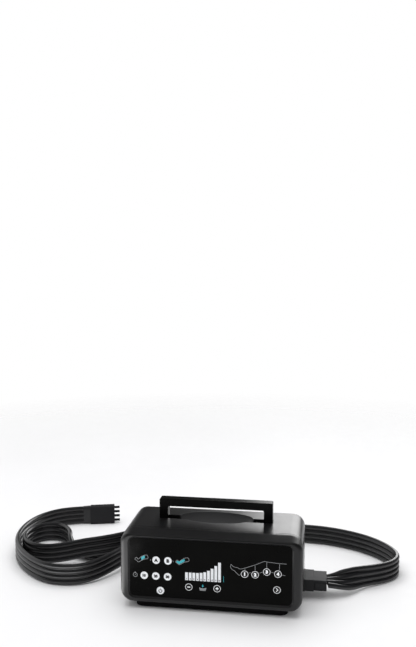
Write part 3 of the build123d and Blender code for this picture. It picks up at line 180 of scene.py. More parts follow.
class PumpStageSettings(bpy.types.PropertyGroup):
    """Floor, camera and lights."""

    floor: colour_setting("Floor", (0.86, 0.86, 0.87), "Colour of the floor and the backdrop")
    card_power: power_setting("Back card", 26.0, "Power of the card behind on the right")
    room_glow: setting("Room glow", 0.6, "Strength of the room light on matt surfaces", min=0.0)
    room_mirrored: setting("Room in mirrors", 0.07, "Strength of the room light in gloss", min=0.0)
    overhead_power: power_setting("Overhead light", 40.0, "Power of the overhead softbox")
    side_power: power_setting("Side card", 6.0, "Power of the bright card on the left")
    floor_power: power_setting("Floor card", 1.3, "Power of the low card on the left")
    top_power: power_setting("Top card", 2.5, "Power of the bright card straight above")
    camera_place: bpy.props.FloatVectorProperty(
        name="Camera place", default=(0.15675, -1.1171, 0.5266), size=3, subtype="TRANSLATION",
        description="Where the camera stands",
    )
    camera_pitch: setting("Camera pitch", np.radians(5.335), "How far it looks down", subtype="ANGLE")
    camera_heading: setting("Camera heading", np.radians(8.544), "How far it turns left", subtype="ANGLE")
    focal_length: setting("Focal length", 42.32, "In millimetres on a 36 mm sensor", min=1.0)


# --- finishes
WHITE = (1.0, 1.0, 1.0, 1.0)
# Most of a noise's values lie in this stretch
NOISE_MIDDLE = (0.35, 0.65)


def feed(node, inputs):
    """Gives inputs of a node a value each, or a link from another node's output."""
    for name, value in inputs.items():
        if isinstance(value, bpy.types.NodeSocket):
            node.id_data.links.new(value, node.inputs[name])
        else:
            node.inputs[name].default_value = value


def add_node(tree, kind, inputs=None, **settings):
    """Adds a node with the given inputs and settings."""
    node = tree.nodes.new(kind)
    for name, value in settings.items():
        setattr(node, name, value)
    feed(node, inputs or {})
    return node


class Finish:
    """A Principled material, with short ways to add the pattern nodes it needs."""

    def __init__(self, name, colour, roughness, metallic=0.0, specular=0.5, glow=None):
        self.material = bpy.data.materials.new(name)
        self.material.use_nodes = True
        self.shader = self.material.node_tree.nodes["Principled BSDF"]
        self.colour = colour
        feed(self.shader, {
            "Base Color": (*colour, 1.0), "Roughness": roughness, "Metallic": metallic,
            "Specular IOR Level": specular,
        })
        if glow is not None:
            feed(self.shader, {"Emission Color": (*colour, 1.0), "Emission Strength": glow})
        self.place = self.add("ShaderNodeTexCoord", "Object")

    def set(self, name, value):
        """Puts a value on one of the shader's own sockets, or links it to an output."""
        feed(self.shader, {name: value})

    def add(self, kind, output, inputs=None, **settings):
        """Adds a node and gives the named one of its outputs."""
        return add_node(self.material.node_tree, kind, inputs, **settings).outputs[output]

    def use_run(self):
        """Takes patterns from the piece's own run map, with metres along the hose as V."""
        self.place = self.add("ShaderNodeUVMap", "UV", uv_map="run")

    def noise(self, scale, detail=3.0, stretch=(1.0, 1.0, 1.0)):
        """Noise with this many features a metre, stretched along the axes."""
        place = self.add("ShaderNodeMapping", "Vector", {"Vector": self.place, "Scale": stretch})
        return self.add("ShaderNodeTexNoise", "Fac", {"Vector": place, "Scale": scale, "Detail": detail})

    def spread(self, source, low, high, start=NOISE_MIDDLE[0], end=NOISE_MIDDLE[1]):
        """Maps a stretch of a pattern to a range of values."""
        ends = {"From Min": start, "From Max": end, "To Min": low, "To Max": high}
        return self.add("ShaderNodeMapRange", "Result", {"Value": source, **ends})

    def distance(self, centre=(0.0, 0.0, 0.0), reach=(1.0, 1.0, 1.0)):
        """How far a place is from a centre, as a share of the reach along each axis."""
        inputs = {"Vector": self.place, "Location": centre, "Scale": reach}
        place = self.add("ShaderNodeMapping", "Vector", inputs, vector_type="TEXTURE")
        return self.add("ShaderNodeVectorMath", "Value", {0: place}, operation="LENGTH")

    def tones(self, source, *factors):
        """Lets the base colour wander between two shades of itself."""
        ramp = add_node(self.material.node_tree, "ShaderNodeValToRGB", {"Fac": source})
        for element, position, factor in zip(ramp.color_ramp.elements, NOISE_MIDDLE, factors):
            element.position = position
            element.color = (*shade(self.colour, factor), 1.0)
        self.set("Base Color", ramp.outputs["Color"])

    def colour_within(self, centre, reach, colour):
        """Paints light on the surface inside an ellipsoid: a colour of its own, with a thin blend at its
        edge.
        """
        share = self.spread(self.distance(centre, reach), 1.0, 0.0, 1.0, 1.03)
        around = self.shader.inputs["Base Color"].links[0].from_socket
        inputs = {"Factor": share, "A": around, "B": (*colour, 1.0)}
        self.set("Base Color", self.add("ShaderNodeMix", "Result", inputs, data_type="RGBA"))

    def roughness(self, source, low, high):
        """Lets the roughness wander."""
        self.set("Roughness", self.spread(source, low, high))

    def bump(self, source, depth, strength, edge=0.0):
        """Raises the surface by a pattern, and softens edges by a radius where one is given."""
        inputs = {"Height": source, "Distance": depth, "Strength": strength}
        if edge:
            inputs["Normal"] = self.add("ShaderNodeBevel", "Normal", {"Radius": edge}, samples=6)
        self.set("Normal", self.add("ShaderNodeBump", "Normal", inputs))

    def patterned(self, tone, gloss, grain):
        """Adds a noise for the tone, the gloss and the grain, and gives the material. Each names its noise
        first. Then come two shades of the colour, two roughnesses, or what the bump takes."""
        for use, (noise, *values) in ((self.tones, tone), (self.roughness, gloss), (self.bump, grain)):
            use(self.noise(*noise), *values)
        return self.material


def shade(colour, factor):
    """The same colour, lighter or darker."""
    return tuple(min(1.0, part * factor) for part in colour)


def moulded_plastic(name, colour, roughness, grain=1800.0, depth=0.00002, specular=0.38, scoop=None):
    """Spark-eroded moulding: fine grain, slow drift of tone and gloss, softened edges. A scoop is the
    centre, reach and colour of a hollow painted paler, a painted highlight for the overhead light it
    catches."""
    finish = Finish(name, colour, roughness, specular=specular)
    finish.patterned(
        ((9.0, 2.0), 0.86, 1.16),
        ((30.0, 3.0), roughness - 0.02, roughness + 0.03),
        ((grain, 2.0), depth, 0.7, 0.0004),
    )
    if scoop:
        # Painted highlight: the hollow of the scoop is painted paler
        finish.colour_within(*scoop)
    return finish.material


def panel_film(colour):
    """Printed black film: close to even, with a faint haze of wiped dust in its gloss."""
    return Finish("panel film", colour, 0.2, specular=0.05).patterned(
        ((22.0, 4.0), 0.8, 1.5),
        ((90.0, 6.0, (1.0, 1.0, 2.5)), 0.13, 0.24),
        ((700.0, 1.0), 0.000004, 0.5, 0.0003),
    )


def key_cap(name, colour, glow):
    """Silky key cap with a shallow orange-peel skin. Where it glows, the glow is painted light that
    brightens the cap.
    """
    return Finish(name, colour, 0.42, specular=0.25, glow=glow).patterned(
        ((240.0, 2.0), 0.95, 1.03), ((500.0, 3.0), 0.36, 0.48), ((1500.0, 1.0), 0.00001, 0.5, 0.0002)
    )


def light_guide(colour):
    """Milky light guide with a faint painted glow, which makes it a little brighter than paper."""
    return Finish("light guide", colour, 0.3, glow=0.12).patterned(
        ((120.0, 2.0), 0.96, 1.02), ((400.0, 2.0), 0.24, 0.36), ((1200.0, 1.0), 0.000006, 0.4)
    )


def ink(name, colour, glow=0.0):
    """Screen-printed ink, slightly uneven in cover. A glow, where given, is painted light."""
    return Finish(name, colour, 0.5, glow=glow).patterned(
        ((900.0, 3.0), 0.88, 1.06), ((600.0, 2.0), 0.42, 0.58), ((2600.0, 1.0), 0.000004, 0.4)
    )


def rubber(name, colour):
    """Matt rubber with a powdery bloom."""
    return Finish(name, colour, 0.75).patterned(
        ((160.0, 4.0), 0.8, 1.5), ((300.0, 3.0), 0.66, 0.84), ((2200.0, 2.0), 0.00003, 0.6, 0.0003)
    )


def hose_vinyl(colour):
    """Extruded vinyl: long die lines, a dusty bloom and a satin sheen."""
    finish = Finish("hose vinyl", colour, 0.36, specular=0.55)
    finish.use_run()
    streaks = finish.noise(26.0, 3.0, (9.0, 0.25, 1.0))
    finish.tones(streaks, 0.75, 1.45)
    finish.roughness(finish.noise(60.0, 4.0, (3.0, 1.0, 1.0)), 0.28, 0.42)
    finish.bump(streaks, 0.00004, 0.5)
    return finish.material


def metal(name, colour, roughness, stretch=(1.0, 1.0, 1.0)):
    """Machined or drawn metal, with its lay along the stretched axis."""
    finish = Finish(name, colour, roughness, metallic=1.0)
    lay = finish.noise(900.0, 3.0, stretch)
    finish.tones(lay, 0.86, 1.05)
    finish.roughness(lay, roughness - 0.07, roughness + 0.1)
    finish.bump(lay, 0.00001, 0.5, 0.0002)
    return finish.material


def circuit_board():
    """Green solder mask over copper tracks, told apart by a fine brick pattern."""
    finish = Finish("circuit board", (0.02, 0.13, 0.05), 0.35)
    bricks = {
        "Vector": finish.place, "Scale": 60.0, "Mortar Size": 0.03, "Color1": (0.018, 0.12, 0.045, 1.0),
        "Color2": (0.024, 0.15, 0.06, 1.0), "Mortar": (0.05, 0.24, 0.10, 1.0),
    }
    tracks = add_node(finish.material.node_tree, "ShaderNodeTexBrick", bricks, offset=0.37)
    finish.set("Base Color", tracks.outputs["Color"])
    finish.roughness(finish.noise(200.0, 3.0), 0.26, 0.42)
    finish.bump(tracks.outputs["Fac"], 0.00003, 0.5)
    return finish.material


# --- surfaces
MERGE_DISTANCE = 1e-7
SHARP_ANGLE = np.radians(38.0)


def unit(vectors):
    """The same vectors at length one."""
    return vectors / np.linalg.norm(vectors, axis=-1, keepdims=True)


def joined(*parts):
    """Points or directions, from an array or a number for each of their measures."""
    return np.stack(np.broadcast_arrays(*parts), axis=-1)


def circling(angle):
    """Cosine and sine of each angle."""
    return joined(np.cos(angle), np.sin(angle))


def put_in_scene(name, data):
    """A new object in the scene."""
    piece = bpy.data.objects.new(name, data)
    bpy.context.scene.collection.objects.link(piece)
    return piece


def grid_corners(rings, around, closed_rows=False):
    """The four corners of each face between closed rings, as ring numbers and as steps round the ring.
    A corner may lie one past the last ring or step, which stands for the first."""
    ring, step = np.divmod(np.arange((rings if closed_rows else rings - 1) * around)[:, None], around)
    return ring + [0, 0, 1, 1], step + [0, 1, 1, 0]


class Surface:
    """Gathers closed grids and plates, and builds them into one piece."""

    def __init__(self):
        self.points, self.faces, self.runs, self.count = [], [], [], 0

    def add(self, points, faces, runs):
        """Adds points, faces that count on from the points before them, and their corners in the run map."""
        self.points.append(points)
        self.faces += faces
        self.runs.append(runs)
        self.count += len(points)

    def add_grid(self, grid, closed_rows=False, run=None):
        """Adds rings of points: the grid is rings by points by three, and each ring is closed.

        The rings also close on each other, or else each end ring is filled by one face.
        run holds the metres along the piece at each ring, for the run map."""
        rings, around = grid.shape[:2]
        ring, step = grid_corners(rings, around, closed_rows)
        faces = (ring % rings * around + step % around + self.count).tolist()
        run = np.linspace(0.0, 1.0, rings) if run is None else run
        runs = [joined(step / around, run[ring % rings]).reshape(-1, 2)]
        if not closed_rows:
            ends = np.stack((np.arange(around)[::-1], np.arange(around) + (rings - 1) * around))
            faces += (ends + self.count).tolist()
            runs.append(joined(0.0, np.repeat([run[0], run[-1]], around)))
        self.add(grid.reshape(-1, 3), faces, np.concatenate(runs))

    def build(self, name, material, body="casing"):
        """Makes the object, closes its seams, turns its faces outwards and lets it ride on a body."""
        mesh = bpy.data.meshes.new(name)
        mesh.from_pydata(np.concatenate(self.points).tolist(), [], self.faces)
        run_map = mesh.uv_layers.new(name="run")
        run_map.uv.foreach_set("vector", np.concatenate(self.runs).astype(np.float32).ravel())
        mesh.shade_smooth()
        work = bmesh.new()
        work.from_mesh(mesh)
        bmesh.ops.remove_doubles(work, verts=work.verts, dist=MERGE_DISTANCE)
        bmesh.ops.recalc_face_normals(work, faces=work.faces)
        work.to_mesh(mesh)
        work.free()
        mesh.set_sharp_from_angle(angle=SHARP_ANGLE)
        mesh.materials.append(material)
        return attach(put_in_scene(name, mesh), body)


def curve_mesh(curve):
    """Points and faces of a curve or a text, which is then removed."""
    holder = bpy.data.objects.new(curve.name, curve)
    mesh = bpy.data.meshes.new_from_object(holder)
    points = np.empty(len(mesh.vertices) * 3)
    mesh.vertices.foreach_get("co", points)
    faces = [list(face.vertices) for face in mesh.polygons]
    bpy.data.meshes.remove(mesh)
    bpy.data.objects.remove(holder)
    bpy.data.curves.remove(curve)
    return points.reshape(-1, 3), faces


def grid_piece(name, grid, material, closed_rows=False, run=None):
    """A piece of one grid, which rides on the casing."""
    surface = Surface()
    surface.add_grid(grid, closed_rows, run)
    return surface.build(name, material)


def on_panel(outline, y):
    """Points across and up the panel, in millimetres, as points in space at a depth y in metres."""
    outline = np.asarray(outline, float) * MM
    return joined(outline[..., 0], y, outline[..., 1])


def smooth_line(points, steps=8, closed=False):
    """Catmull-Rom line: between two points it is the cubic that leaves each one towards the line
    through its neighbours."""
    points = np.asarray(points, float)
    if closed:
        padded = np.concatenate((points[-1:], points, points[:2]))
    else:
        padded = np.concatenate((2 * points[:1] - points[1:2], points, 2 * points[-1:] - points[-2:-1]))
    t = np.linspace(0.0, 1.0, steps, endpoint=False)[:, None, None]
    before, here, after, beyond = padded[:-3], padded[1:-2], padded[2:-1], padded[3:]
    line = 0.5 * (
        2 * here
        + (after - before) * t
        + (2 * before - 5 * here + 4 * after - beyond) * t**2
        + (3 * here - before - 3 * after + beyond) * t**3
    )
    line = line.transpose(1, 0, 2).reshape(-1, 2)
    return line if closed else np.concatenate((line, points[-1:]))


def circle_line(centre, radius, start=0.0, end=360.0, steps=48):
    """Points on a circle from one angle to another, in degrees from +X towards +Z."""
    angle = np.radians(np.linspace(start, end, steps, endpoint=(end - start) < 360.0))
    return np.asarray(centre) + radius * circling(angle)


class Printing(Surface):
    """Ink on a flat face, whose depth and thickness are in metres. What is drawn is in millimetres, and
    its rise says how many thicknesses it stands off the face."""

    def __init__(self, face, thickness):
        super().__init__()
        self.face, self.thickness = face, thickness

    def layer(self, outline, rise=0.0):
        """The outline's points in space."""
        return on_panel(outline, self.face - rise * self.thickness)

    def add_stroke(self, line, width, closed=False, rise=1.0):
        """Ink line: at each point it widens by half the width to either side, square to the line, and
        has a front and a back."""
        line = np.asarray(line, float)
        around = np.roll(line, -1, axis=0) - np.roll(line, 1, axis=0)
        heading = unit(around if closed else np.gradient(line, axis=0))
        side = joined(-heading[:, 1], heading[:, 0]) * width / 2
        left, right = line + side, line - side
        rings = (self.layer(left), self.layer(right), self.layer(right, rise), self.layer(left, rise))
        self.add_grid(np.stack(rings, axis=1), closed_rows=closed)

    def add_plate(self, outline, rise=1.0):
        """Ink patch: the outline, filled, with a front and a back."""
        self.add_grid(np.stack((self.layer(outline), self.layer(outline, rise))))

    def add_words(self, words, centre, height, weight):
        """Words centred on a place and scaled to a height. The weight thickens the strokes, as a share
        of the type size."""
        text = bpy.data.curves.new(words, "FONT")
        text.body = words
        text.resolution_u = 4
        text.extrude = 0.5
        text.offset = weight
        points, faces = curve_mesh(text)
        low, high = points.min(axis=0), points.max(axis=0)
        scale = height / (high[1] - low[1])
        flat = (points[:, :2] - (low[:2] + high[:2]) / 2) * scale + np.asarray(centre)
        placed = on_panel(flat, 0.0)
        placed[:, 1] = self.face - (points[:, 2] + 0.5) * self.thickness
        faces = [[corner + self.count for corner in face] for face in faces]
        self.add(placed, faces, np.zeros((sum(len(face) for face in faces), 2)))


# --- casing shapes
def rounded_outline(low, high, corner, steps=14):
    """Rounded rectangle between two corners of a plane: each corner is a quarter circle, and each
    straight side keeps a point near either end. Gives its points and the way out at each."""
    low, high = np.asarray(low), np.asarray(high)
    turn = np.radians(np.linspace(0.0, 90.0, steps) + np.array([[0.0], [90.0], [180.0], [270.0]]))
    out = circling(turn)
    quadrant = np.array([[[1, 1]], [[-1, 1]], [[-1, -1]], [[1, -1]]])
    arcs = (low + high) / 2 + quadrant * ((high - low) / 2 - corner) + corner * out
    shares = np.array([[0.01], [0.5], [0.99]])
    sides = arcs[:, -1:] + (np.roll(arcs[:, :1], -1, axis=0) - arcs[:, -1:]) * shares
    ways = np.repeat(out[:, -1:], len(shares), axis=1)
    return tuple(np.concatenate(pair, axis=1).reshape(-1, 2) for pair in ((arcs, sides), (out, ways)))


def arc_rings(start, heading, towards, radius, turn, steps):
    """Places on an arc that leaves a start along a heading and bends towards a side: the radius times
    the sine along the heading, and times one minus the cosine to that side."""
    angle = turn * np.linspace(0.0, 1.0, steps)[:, None]
    along, aside = radius * np.sin(angle), radius * (1 - np.cos(angle))
    return start + along[..., None] * heading + aside[..., None] * towards


def build_bezel(bezel, material):
    """Bezel as rings walked round its outline. Each section leaves the seam down the side, bends by an
    arc to the slope and by another to the face, drops to the panel's seat and comes back inside. The
    slope's inset and the second arc's radius follow the square of the outward way's rise."""
    (low, high), (panel_low, panel_high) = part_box("front_bezel"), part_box("front_panel")
    seam_y, ring_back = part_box("rear_shell")[0].y, low.y + bezel.ring_thickness
    edge, out = rounded_outline((low.x, low.z), (high.x, high.z), bezel.corner)
    upward, downward = np.clip(out[:, 1], 0.0, None) ** 2, np.clip(-out[:, 1], 0.0, None) ** 2
    inset = bezel.side_inset + (bezel.top_inset - bezel.side_inset) * upward
    front_round = (
        bezel.side_round + (bezel.top_round - bezel.side_round) * upward
        + (bezel.low_round - bezel.side_round) * downward
    )
    lean = np.arctan2(inset, bezel.slope_depth)
    slope_way, slope_in = joined(np.sin(lean), -np.cos(lean)), circling(lean)
    side_way, side_in = np.array([0.0, -1.0]), np.array([1.0, 0.0])
    shoulder_reach = bezel.shoulder_round * np.tan(lean / 2)
    front_turn = np.pi / 2 - lean
    front_reach = front_round * np.tan(front_turn / 2)
    shoulder_start = joined(0.0, low.y + bezel.slope_depth + shoulder_reach)
    front_start = joined(inset, low.y) - front_reach[:, None] * slope_way
    seam = np.array([[bezel.seam_bevel, seam_y], [0.0, seam_y - bezel.seam_bevel]])
    profile = np.concatenate((
        np.repeat(seam[:, None], len(edge), axis=1),
        arc_rings(shoulder_start, side_way, side_in, bezel.shoulder_round, lean, steps=7),
        arc_rings(front_start, slope_way, slope_in, front_round, front_turn, steps=13),
    ))
    outside = edge[None] - profile[..., :1] * out[None]
    rings = [*joined(outside[..., 0], profile[..., 1], outside[..., 1])]
    for growth, y in (
        (bezel.panel_bevel, low.y), (0.0, panel_low.y), (0.0, panel_high.y),
        (-bezel.panel_ledge, panel_high.y), (-bezel.panel_ledge, ring_back),
    ):
        corners = (
            (panel_low.x - growth, panel_low.z - growth), (panel_high.x + growth, panel_high.z + growth)
        )
        rings.append(on_panel(rounded_outline(*corners, bezel.panel_corner + growth)[0] / MM, y))
    for depth, y in ((bezel.wall + inset[:, None], ring_back), (bezel.wall, seam_y)):
        rings.append(on_panel((edge - depth * out) / MM, y))
    piece = grid_piece("bezel_moulding", np.stack(rings), material, closed_rows=True)
    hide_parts("front_bezel")


def build_skirt(bezel, material):
    """Skirt that carries the plinth's outline down to just above the floor: four outlines, outer and
    inner, low and high."""
    low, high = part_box("base_plinth")
    edge, out = rounded_outline((low.x, low.y), (high.x, high.y), bezel.skirt_corner)
    rings = [
        joined(*(edge - inset * out).T, z)
        for inset, z in (
            (0.0, low.z), (bezel.skirt_bevel, bezel.skirt_clearance),
            (bezel.wall, bezel.skirt_clearance), (bezel.wall, low.z),
        )
    ]
    grid_piece("plinth_skirt", np.stack(rings), material, closed_rows=True)


# --- hose shapes
TUBES = 4
TILT_WINDOW = 9


def hose_line(name, route):
    """Points along the NURBS line of order 3 that has the route's places as its control points."""
    curve = bpy.data.curves.new(name, "CURVE")
    curve.dimensions = "3D"
    spline = curve.splines.new("NURBS")
    spline.points.add(len(route) - 1)
    for point, place in zip(spline.points, route):
        point.co = (*place[:3], 1.0)
    spline.order_u = 3
    spline.use_endpoint_u = True
    spline.resolution_u = 9
    return curve_mesh(curve)[0]


def run_along(points):
    """Metres along a line at each of its points."""
    return np.concatenate(([0.0], np.cumsum(np.linalg.norm(np.diff(points, axis=0), axis=1))))


def hose_frames(points, route):
    """Width and thickness directions along a hose: level across its heading, turned by its tilt, which is
    a running mean of the tilts at the route's places."""
    heading = unit(np.gradient(points, axis=0))
    across = unit(np.cross((0.0, 0.0, 1.0), heading))
    lifted = np.cross(heading, across)
    places = np.array([place[:3] for place in route])
    nearest = np.linalg.norm(points[None] - places[:, None], axis=-1).argmin(axis=1)
    run = run_along(points)
    tilt = np.pad(np.interp(run, run[nearest], [place[3] for place in route]), TILT_WINDOW // 2, mode="edge")
    tilt = np.radians(np.convolve(tilt, np.ones(TILT_WINDOW) / TILT_WINDOW, mode="valid"))[:, None]
    width_way = across * np.cos(tilt) + lifted * np.sin(tilt)
    return width_way, np.cross(heading, width_way)


def ribbon_section(hose, steps=8):
    """Circles side by side, each joined to the next where it is as thin as the web. One side is walked
    from the first tube to the last, and then the other side back."""
    radius = hose.tube_diameter / 2
    waist = np.arcsin(hose.web_thickness / 2 / radius)
    tube = np.arange(TUBES)
    starts = np.where(tube == 0, np.pi, np.pi - waist)[:, None]
    ends = np.where(tube == TUBES - 1, 0.0, waist)[:, None]
    angle = starts + (ends - starts) * np.linspace(0.0, 1.0, steps)
    centres = (tube[:, None] - (TUBES - 1) / 2) * hose.tube_pitch
    top = (joined(centres, 0.0) + radius * circling(angle)).reshape(-1, 2)
    return np.concatenate((top, top[-2:0:-1] * np.array([1.0, -1.0])))


def superellipse(halves, power=5.0, steps=40):
    """Rounded oblongs, one for each pair of half width and half thickness: cosine and sine of the angle,
    each raised to 2 over the power."""
    wave = circling(np.linspace(0.0, 2 * np.pi, steps, endpoint=False))
    return np.sign(wave) * np.abs(wave) ** (2 / power) * halves[:, None]


def carried(points, width_way, thick_way, sections):
    """Sections carried along a line: each point is the line's point plus its two section measures
    along the width and thickness directions."""
    return points[:, None] + width_way[:, None] * sections[..., :1] + thick_way[:, None] * sections[..., 1:]


def build_ribbon(name, route, hose, material):
    """Ribbon along a route. Gives the piece, its line and its directions."""
    points = hose_line(name, route)
    width_way, thick_way = hose_frames(points, route)
    grid = carried(points, width_way, thick_way, ribbon_section(hose)[None])
    piece = grid_piece(name + "_ribbon", grid, material, run=run_along(points))
    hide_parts(name)
    return piece, points, width_way, thick_way


def build_collar(name, line, length, start_half, end_half, material, from_end=False, stations=24):
    """Tapered collar on a ribbon's end. Its half width and half thickness run from one pair to the
    other, eased by a cosine."""
    run = run_along(line[0][::-1] if from_end else line[0])
    reach = np.linspace(0.0, length, stations)
    place, width_way, thick_way = (
        np.stack([np.interp(reach, run, axis) for axis in (part[::-1] if from_end else part).T], axis=-1)
        for part in line
    )
    ease = (1 - np.cos(np.pi * reach / length)) / 2
    halves = start_half + (end_half - start_half) * ease[:, None]
    return grid_piece(name, carried(place, unit(width_way), unit(thick_way), superellipse(halves)), material)


# --- pieces
def dress_nodes(material, *names):
    """Gives CAD nodes a finish."""
    for name in names:
        NODES[name].data.materials.clear()
        NODES[name].data.materials.append(material)


# Drawings on the panel and on the keys, in millimetres. On the panel, places are across from the
# casing's middle and up from the floor, and on a key they are from the key's middle.
LEG_TOP = [
    (31.0, 75.9), (33.6, 73.3), (37.2, 71.6), (40.8, 71.1), (44.4, 69.5), (50.5, 70.9), (65.1, 76.4),
    (73.2, 80.0), (80.0, 82.9), (84.0, 82.3), (96.0, 81.4), (111.8, 80.8),
]
LEG_SOLE = [(31.0, 75.9), (30.6, 71.8), (32.4, 68.2), (36.4, 66.0), (39.8, 62.6), (43.1, 59.9), (46.0, 61.4)]
LEG_DASHES = [
    [(57.9, 64.3), (60.3, 64.8)], [(72.6, 64.9), (76.8, 66.9)],
    [(89.6, 67.4), (92.9, 66.8)], [(105.6, 64.2), (109.7, 63.6)],
]
LEADERS = [
    [(51.6, 69.8), (51.4, 68.3)], [(66.2, 75.8), (66.4, 68.4)],
    [(83.1, 82.3), (83.2, 73.6)], [(101.6, 81.6), (101.2, 71.3)],
]
LIMB_OUTLINE = [
    (-111.9, 74.4), (-109.3, 72.6), (-106.5, 70.7), (-103.2, 72.6), (-99.2, 74.9), (-95.8, 75.9),
    (-92.6, 76.8), (-92.3, 79.5), (-93.6, 81.7), (-96.9, 81.6), (-100.5, 80.1), (-103.5, 78.2),
    (-105.8, 75.8), (-107.4, 75.0), (-109.1, 77.4), (-110.9, 76.6),
]
LIMB_CALF = [(-102.9, 77.6), (-99.8, 80.2), (-97.0, 80.9), (-97.1, 77.0), (-99.2, 75.4), (-102.0, 74.0)]
LIMB_LOWER = [
    (-50.0, 74.3), (-48.3, 72.8), (-45.2, 71.0), (-41.4, 73.3), (-37.9, 75.3), (-36.7, 77.2), (-37.9, 79.3),
    (-41.9, 77.2), (-44.5, 75.3), (-46.8, 75.6), (-48.2, 76.3),
]
LIMB_PLACES = [(0.0, 0.0), (61.4, -0.5)]
GAUGE_PAD = [
    (-15.8, 37.9), (-14.7, 32.9), (-6.1, 32.9), (-5.0, 37.9), (-7.4, 36.8), (-10.4, 36.4), (-13.4, 36.8)
]
GAUGE_ARROW = [
    (-10.4, 38.2), (-8.8, 40.3), (-9.9, 40.3), (-9.9, 42.2), (-10.9, 42.2), (-10.9, 40.3), (-12.0, 40.3)
]
TIMER_CENTRE, TIMER_RADIUS = (-111.7, 50.9), 3.0
FINE_LINE = 0.45
TICK_LINE = [(20.3, 47.9), (20.3, 56.9)]
# Lines with widths of their own: the timer's crown and hand, and the arrows to the limbs from A and B.
SHORT_LINES = [
    ([(-111.7, 54.3), (-111.7, 55.3)], 1.9),
    ([(-112.1, 50.5), (-110.7, 51.9)], 0.7),
    ([(-87.7, 76.0), (-88.9, 74.8), (-87.7, 73.6)], FINE_LINE),
    ([(-54.9, 76.0), (-53.7, 74.8), (-54.9, 73.6)], FINE_LINE),
]
BAR_COUNT, BAR_FIRST_X, BAR_PITCH = 10, -34.5, 5.42
BAR_FIGURE_Z, BAR_FIGURE_HEIGHT, BAR_FIGURE_WEIGHT = 49.6, 2.3, 0.05
KEY_WORD_WEIGHT = 0.08
KEY_RING_RADIUS = 5.25
# Each line of a symbol with its width and its rise
BAR_ACROSS = ([(-2.2, 0.0), (2.2, 0.0)], 1.2, 1.0)
KEY_SYMBOLS = {
    "power_key": [
        (circle_line((0.0, -0.3), 2.35, 125.0, 415.0, 30), 1.2, 1.0), ([(0.0, 0.5), (0.0, 3.3)], 1.0, 1.0)
    ],
    "minus_key": [BAR_ACROSS],
    "plus_key": [BAR_ACROSS, ([(0.0, -2.2), (0.0, 2.2)], 1.2, 1.1)],
    "next_key": [([(-1.2, 2.5), (0.1, 1.25), (1.6, 0.0), (0.1, -1.25), (-1.2, -2.5)], 0.9, 1.0)],
}


def print_panel(ink_settings):
    """The drawings on the panel: outlines in grey ink, marked stretches in teal, figures in black."""
    panel_face, bar_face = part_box("front_panel")[0].y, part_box("level_bars")[0].y
    thickness, line_width = ink_settings.thickness, ink_settings.line_width / MM
    outlines = Printing(panel_face, thickness)
    for line in (smooth_line(LEG_TOP), smooth_line(LEG_SOLE), *LEG_DASHES, *LEADERS):
        outlines.add_stroke(line, line_width)
    for place in LIMB_PLACES:
        limb = smooth_line(np.add(LIMB_OUTLINE, place), closed=True)
        outlines.add_stroke(limb, 1.1 * line_width, closed=True)
    outlines.add_stroke(circle_line(TIMER_CENTRE, TIMER_RADIUS), 1.2 * line_width, closed=True)
    for line, width in SHORT_LINES:
        outlines.add_stroke(line, width)
    outlines.add_plate(GAUGE_PAD)
    outlines.build("panel_outlines", ink("grey ink", ink_settings.grey))
    marks = Printing(panel_face, thickness)
    for patch, rise in ((LIMB_CALF, 1.3), (LIMB_LOWER, 1.3), (GAUGE_ARROW, 1.0)):
        marks.add_plate(patch, rise)
    marks.add_stroke(TICK_LINE, FINE_LINE)
    marks.build("panel_marks", ink("teal ink", ink_settings.teal))
    figures = Printing(bar_face, thickness)
    for i in range(BAR_COUNT):
        centre = (BAR_FIRST_X + BAR_PITCH * i, BAR_FIGURE_Z)
        figures.add_words(str(i + 1), centre, BAR_FIGURE_HEIGHT, BAR_FIGURE_WEIGHT)
    figures.build("level_figures", ink("figure ink", ink_settings.black))


def build_legends(ink_settings):
    """A legend on each key: black on the white keys, and white inside a white ring on the others."""
    black = ink("black ink", ink_settings.black)
    # The white ink's glow is painted light that makes the legends on black keys read brighter
    white = ink("white ink", ink_settings.white, glow=0.35)
    for name in KEYS:
        low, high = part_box(name)
        centre = np.array([low.x + high.x, low.z + high.z]) / 2 / MM
        legend = Printing(low.y, ink_settings.thickness)
        if name in KEY_WORDS:
            words = KEY_WORDS[name]
            height = ink_settings.letter_height if len(words) == 1 else ink_settings.figure_height
            legend.add_words(words, centre, height / MM, KEY_WORD_WEIGHT)
        else:
            for line, width, rise in KEY_SYMBOLS[name]:
                legend.add_stroke(centre + line, width, rise=rise)
        if name not in WHITE_KEYS:
            width = ink_settings.ring_width / MM
            legend.add_stroke(circle_line(centre, KEY_RING_RADIUS - width / 2), width, closed=True)
        legend.build(name.replace("_key", "_legend"), black if name in WHITE_KEYS else white, name)


# Where the finger scoop's painted highlight lies: centre and reach of its ellipsoid, in metres
SCOOP_LIGHT_CENTRE = (0.0, 0.017, 0.118)
SCOOP_LIGHT_REACH = (0.0575, 0.0253, 0.0253)


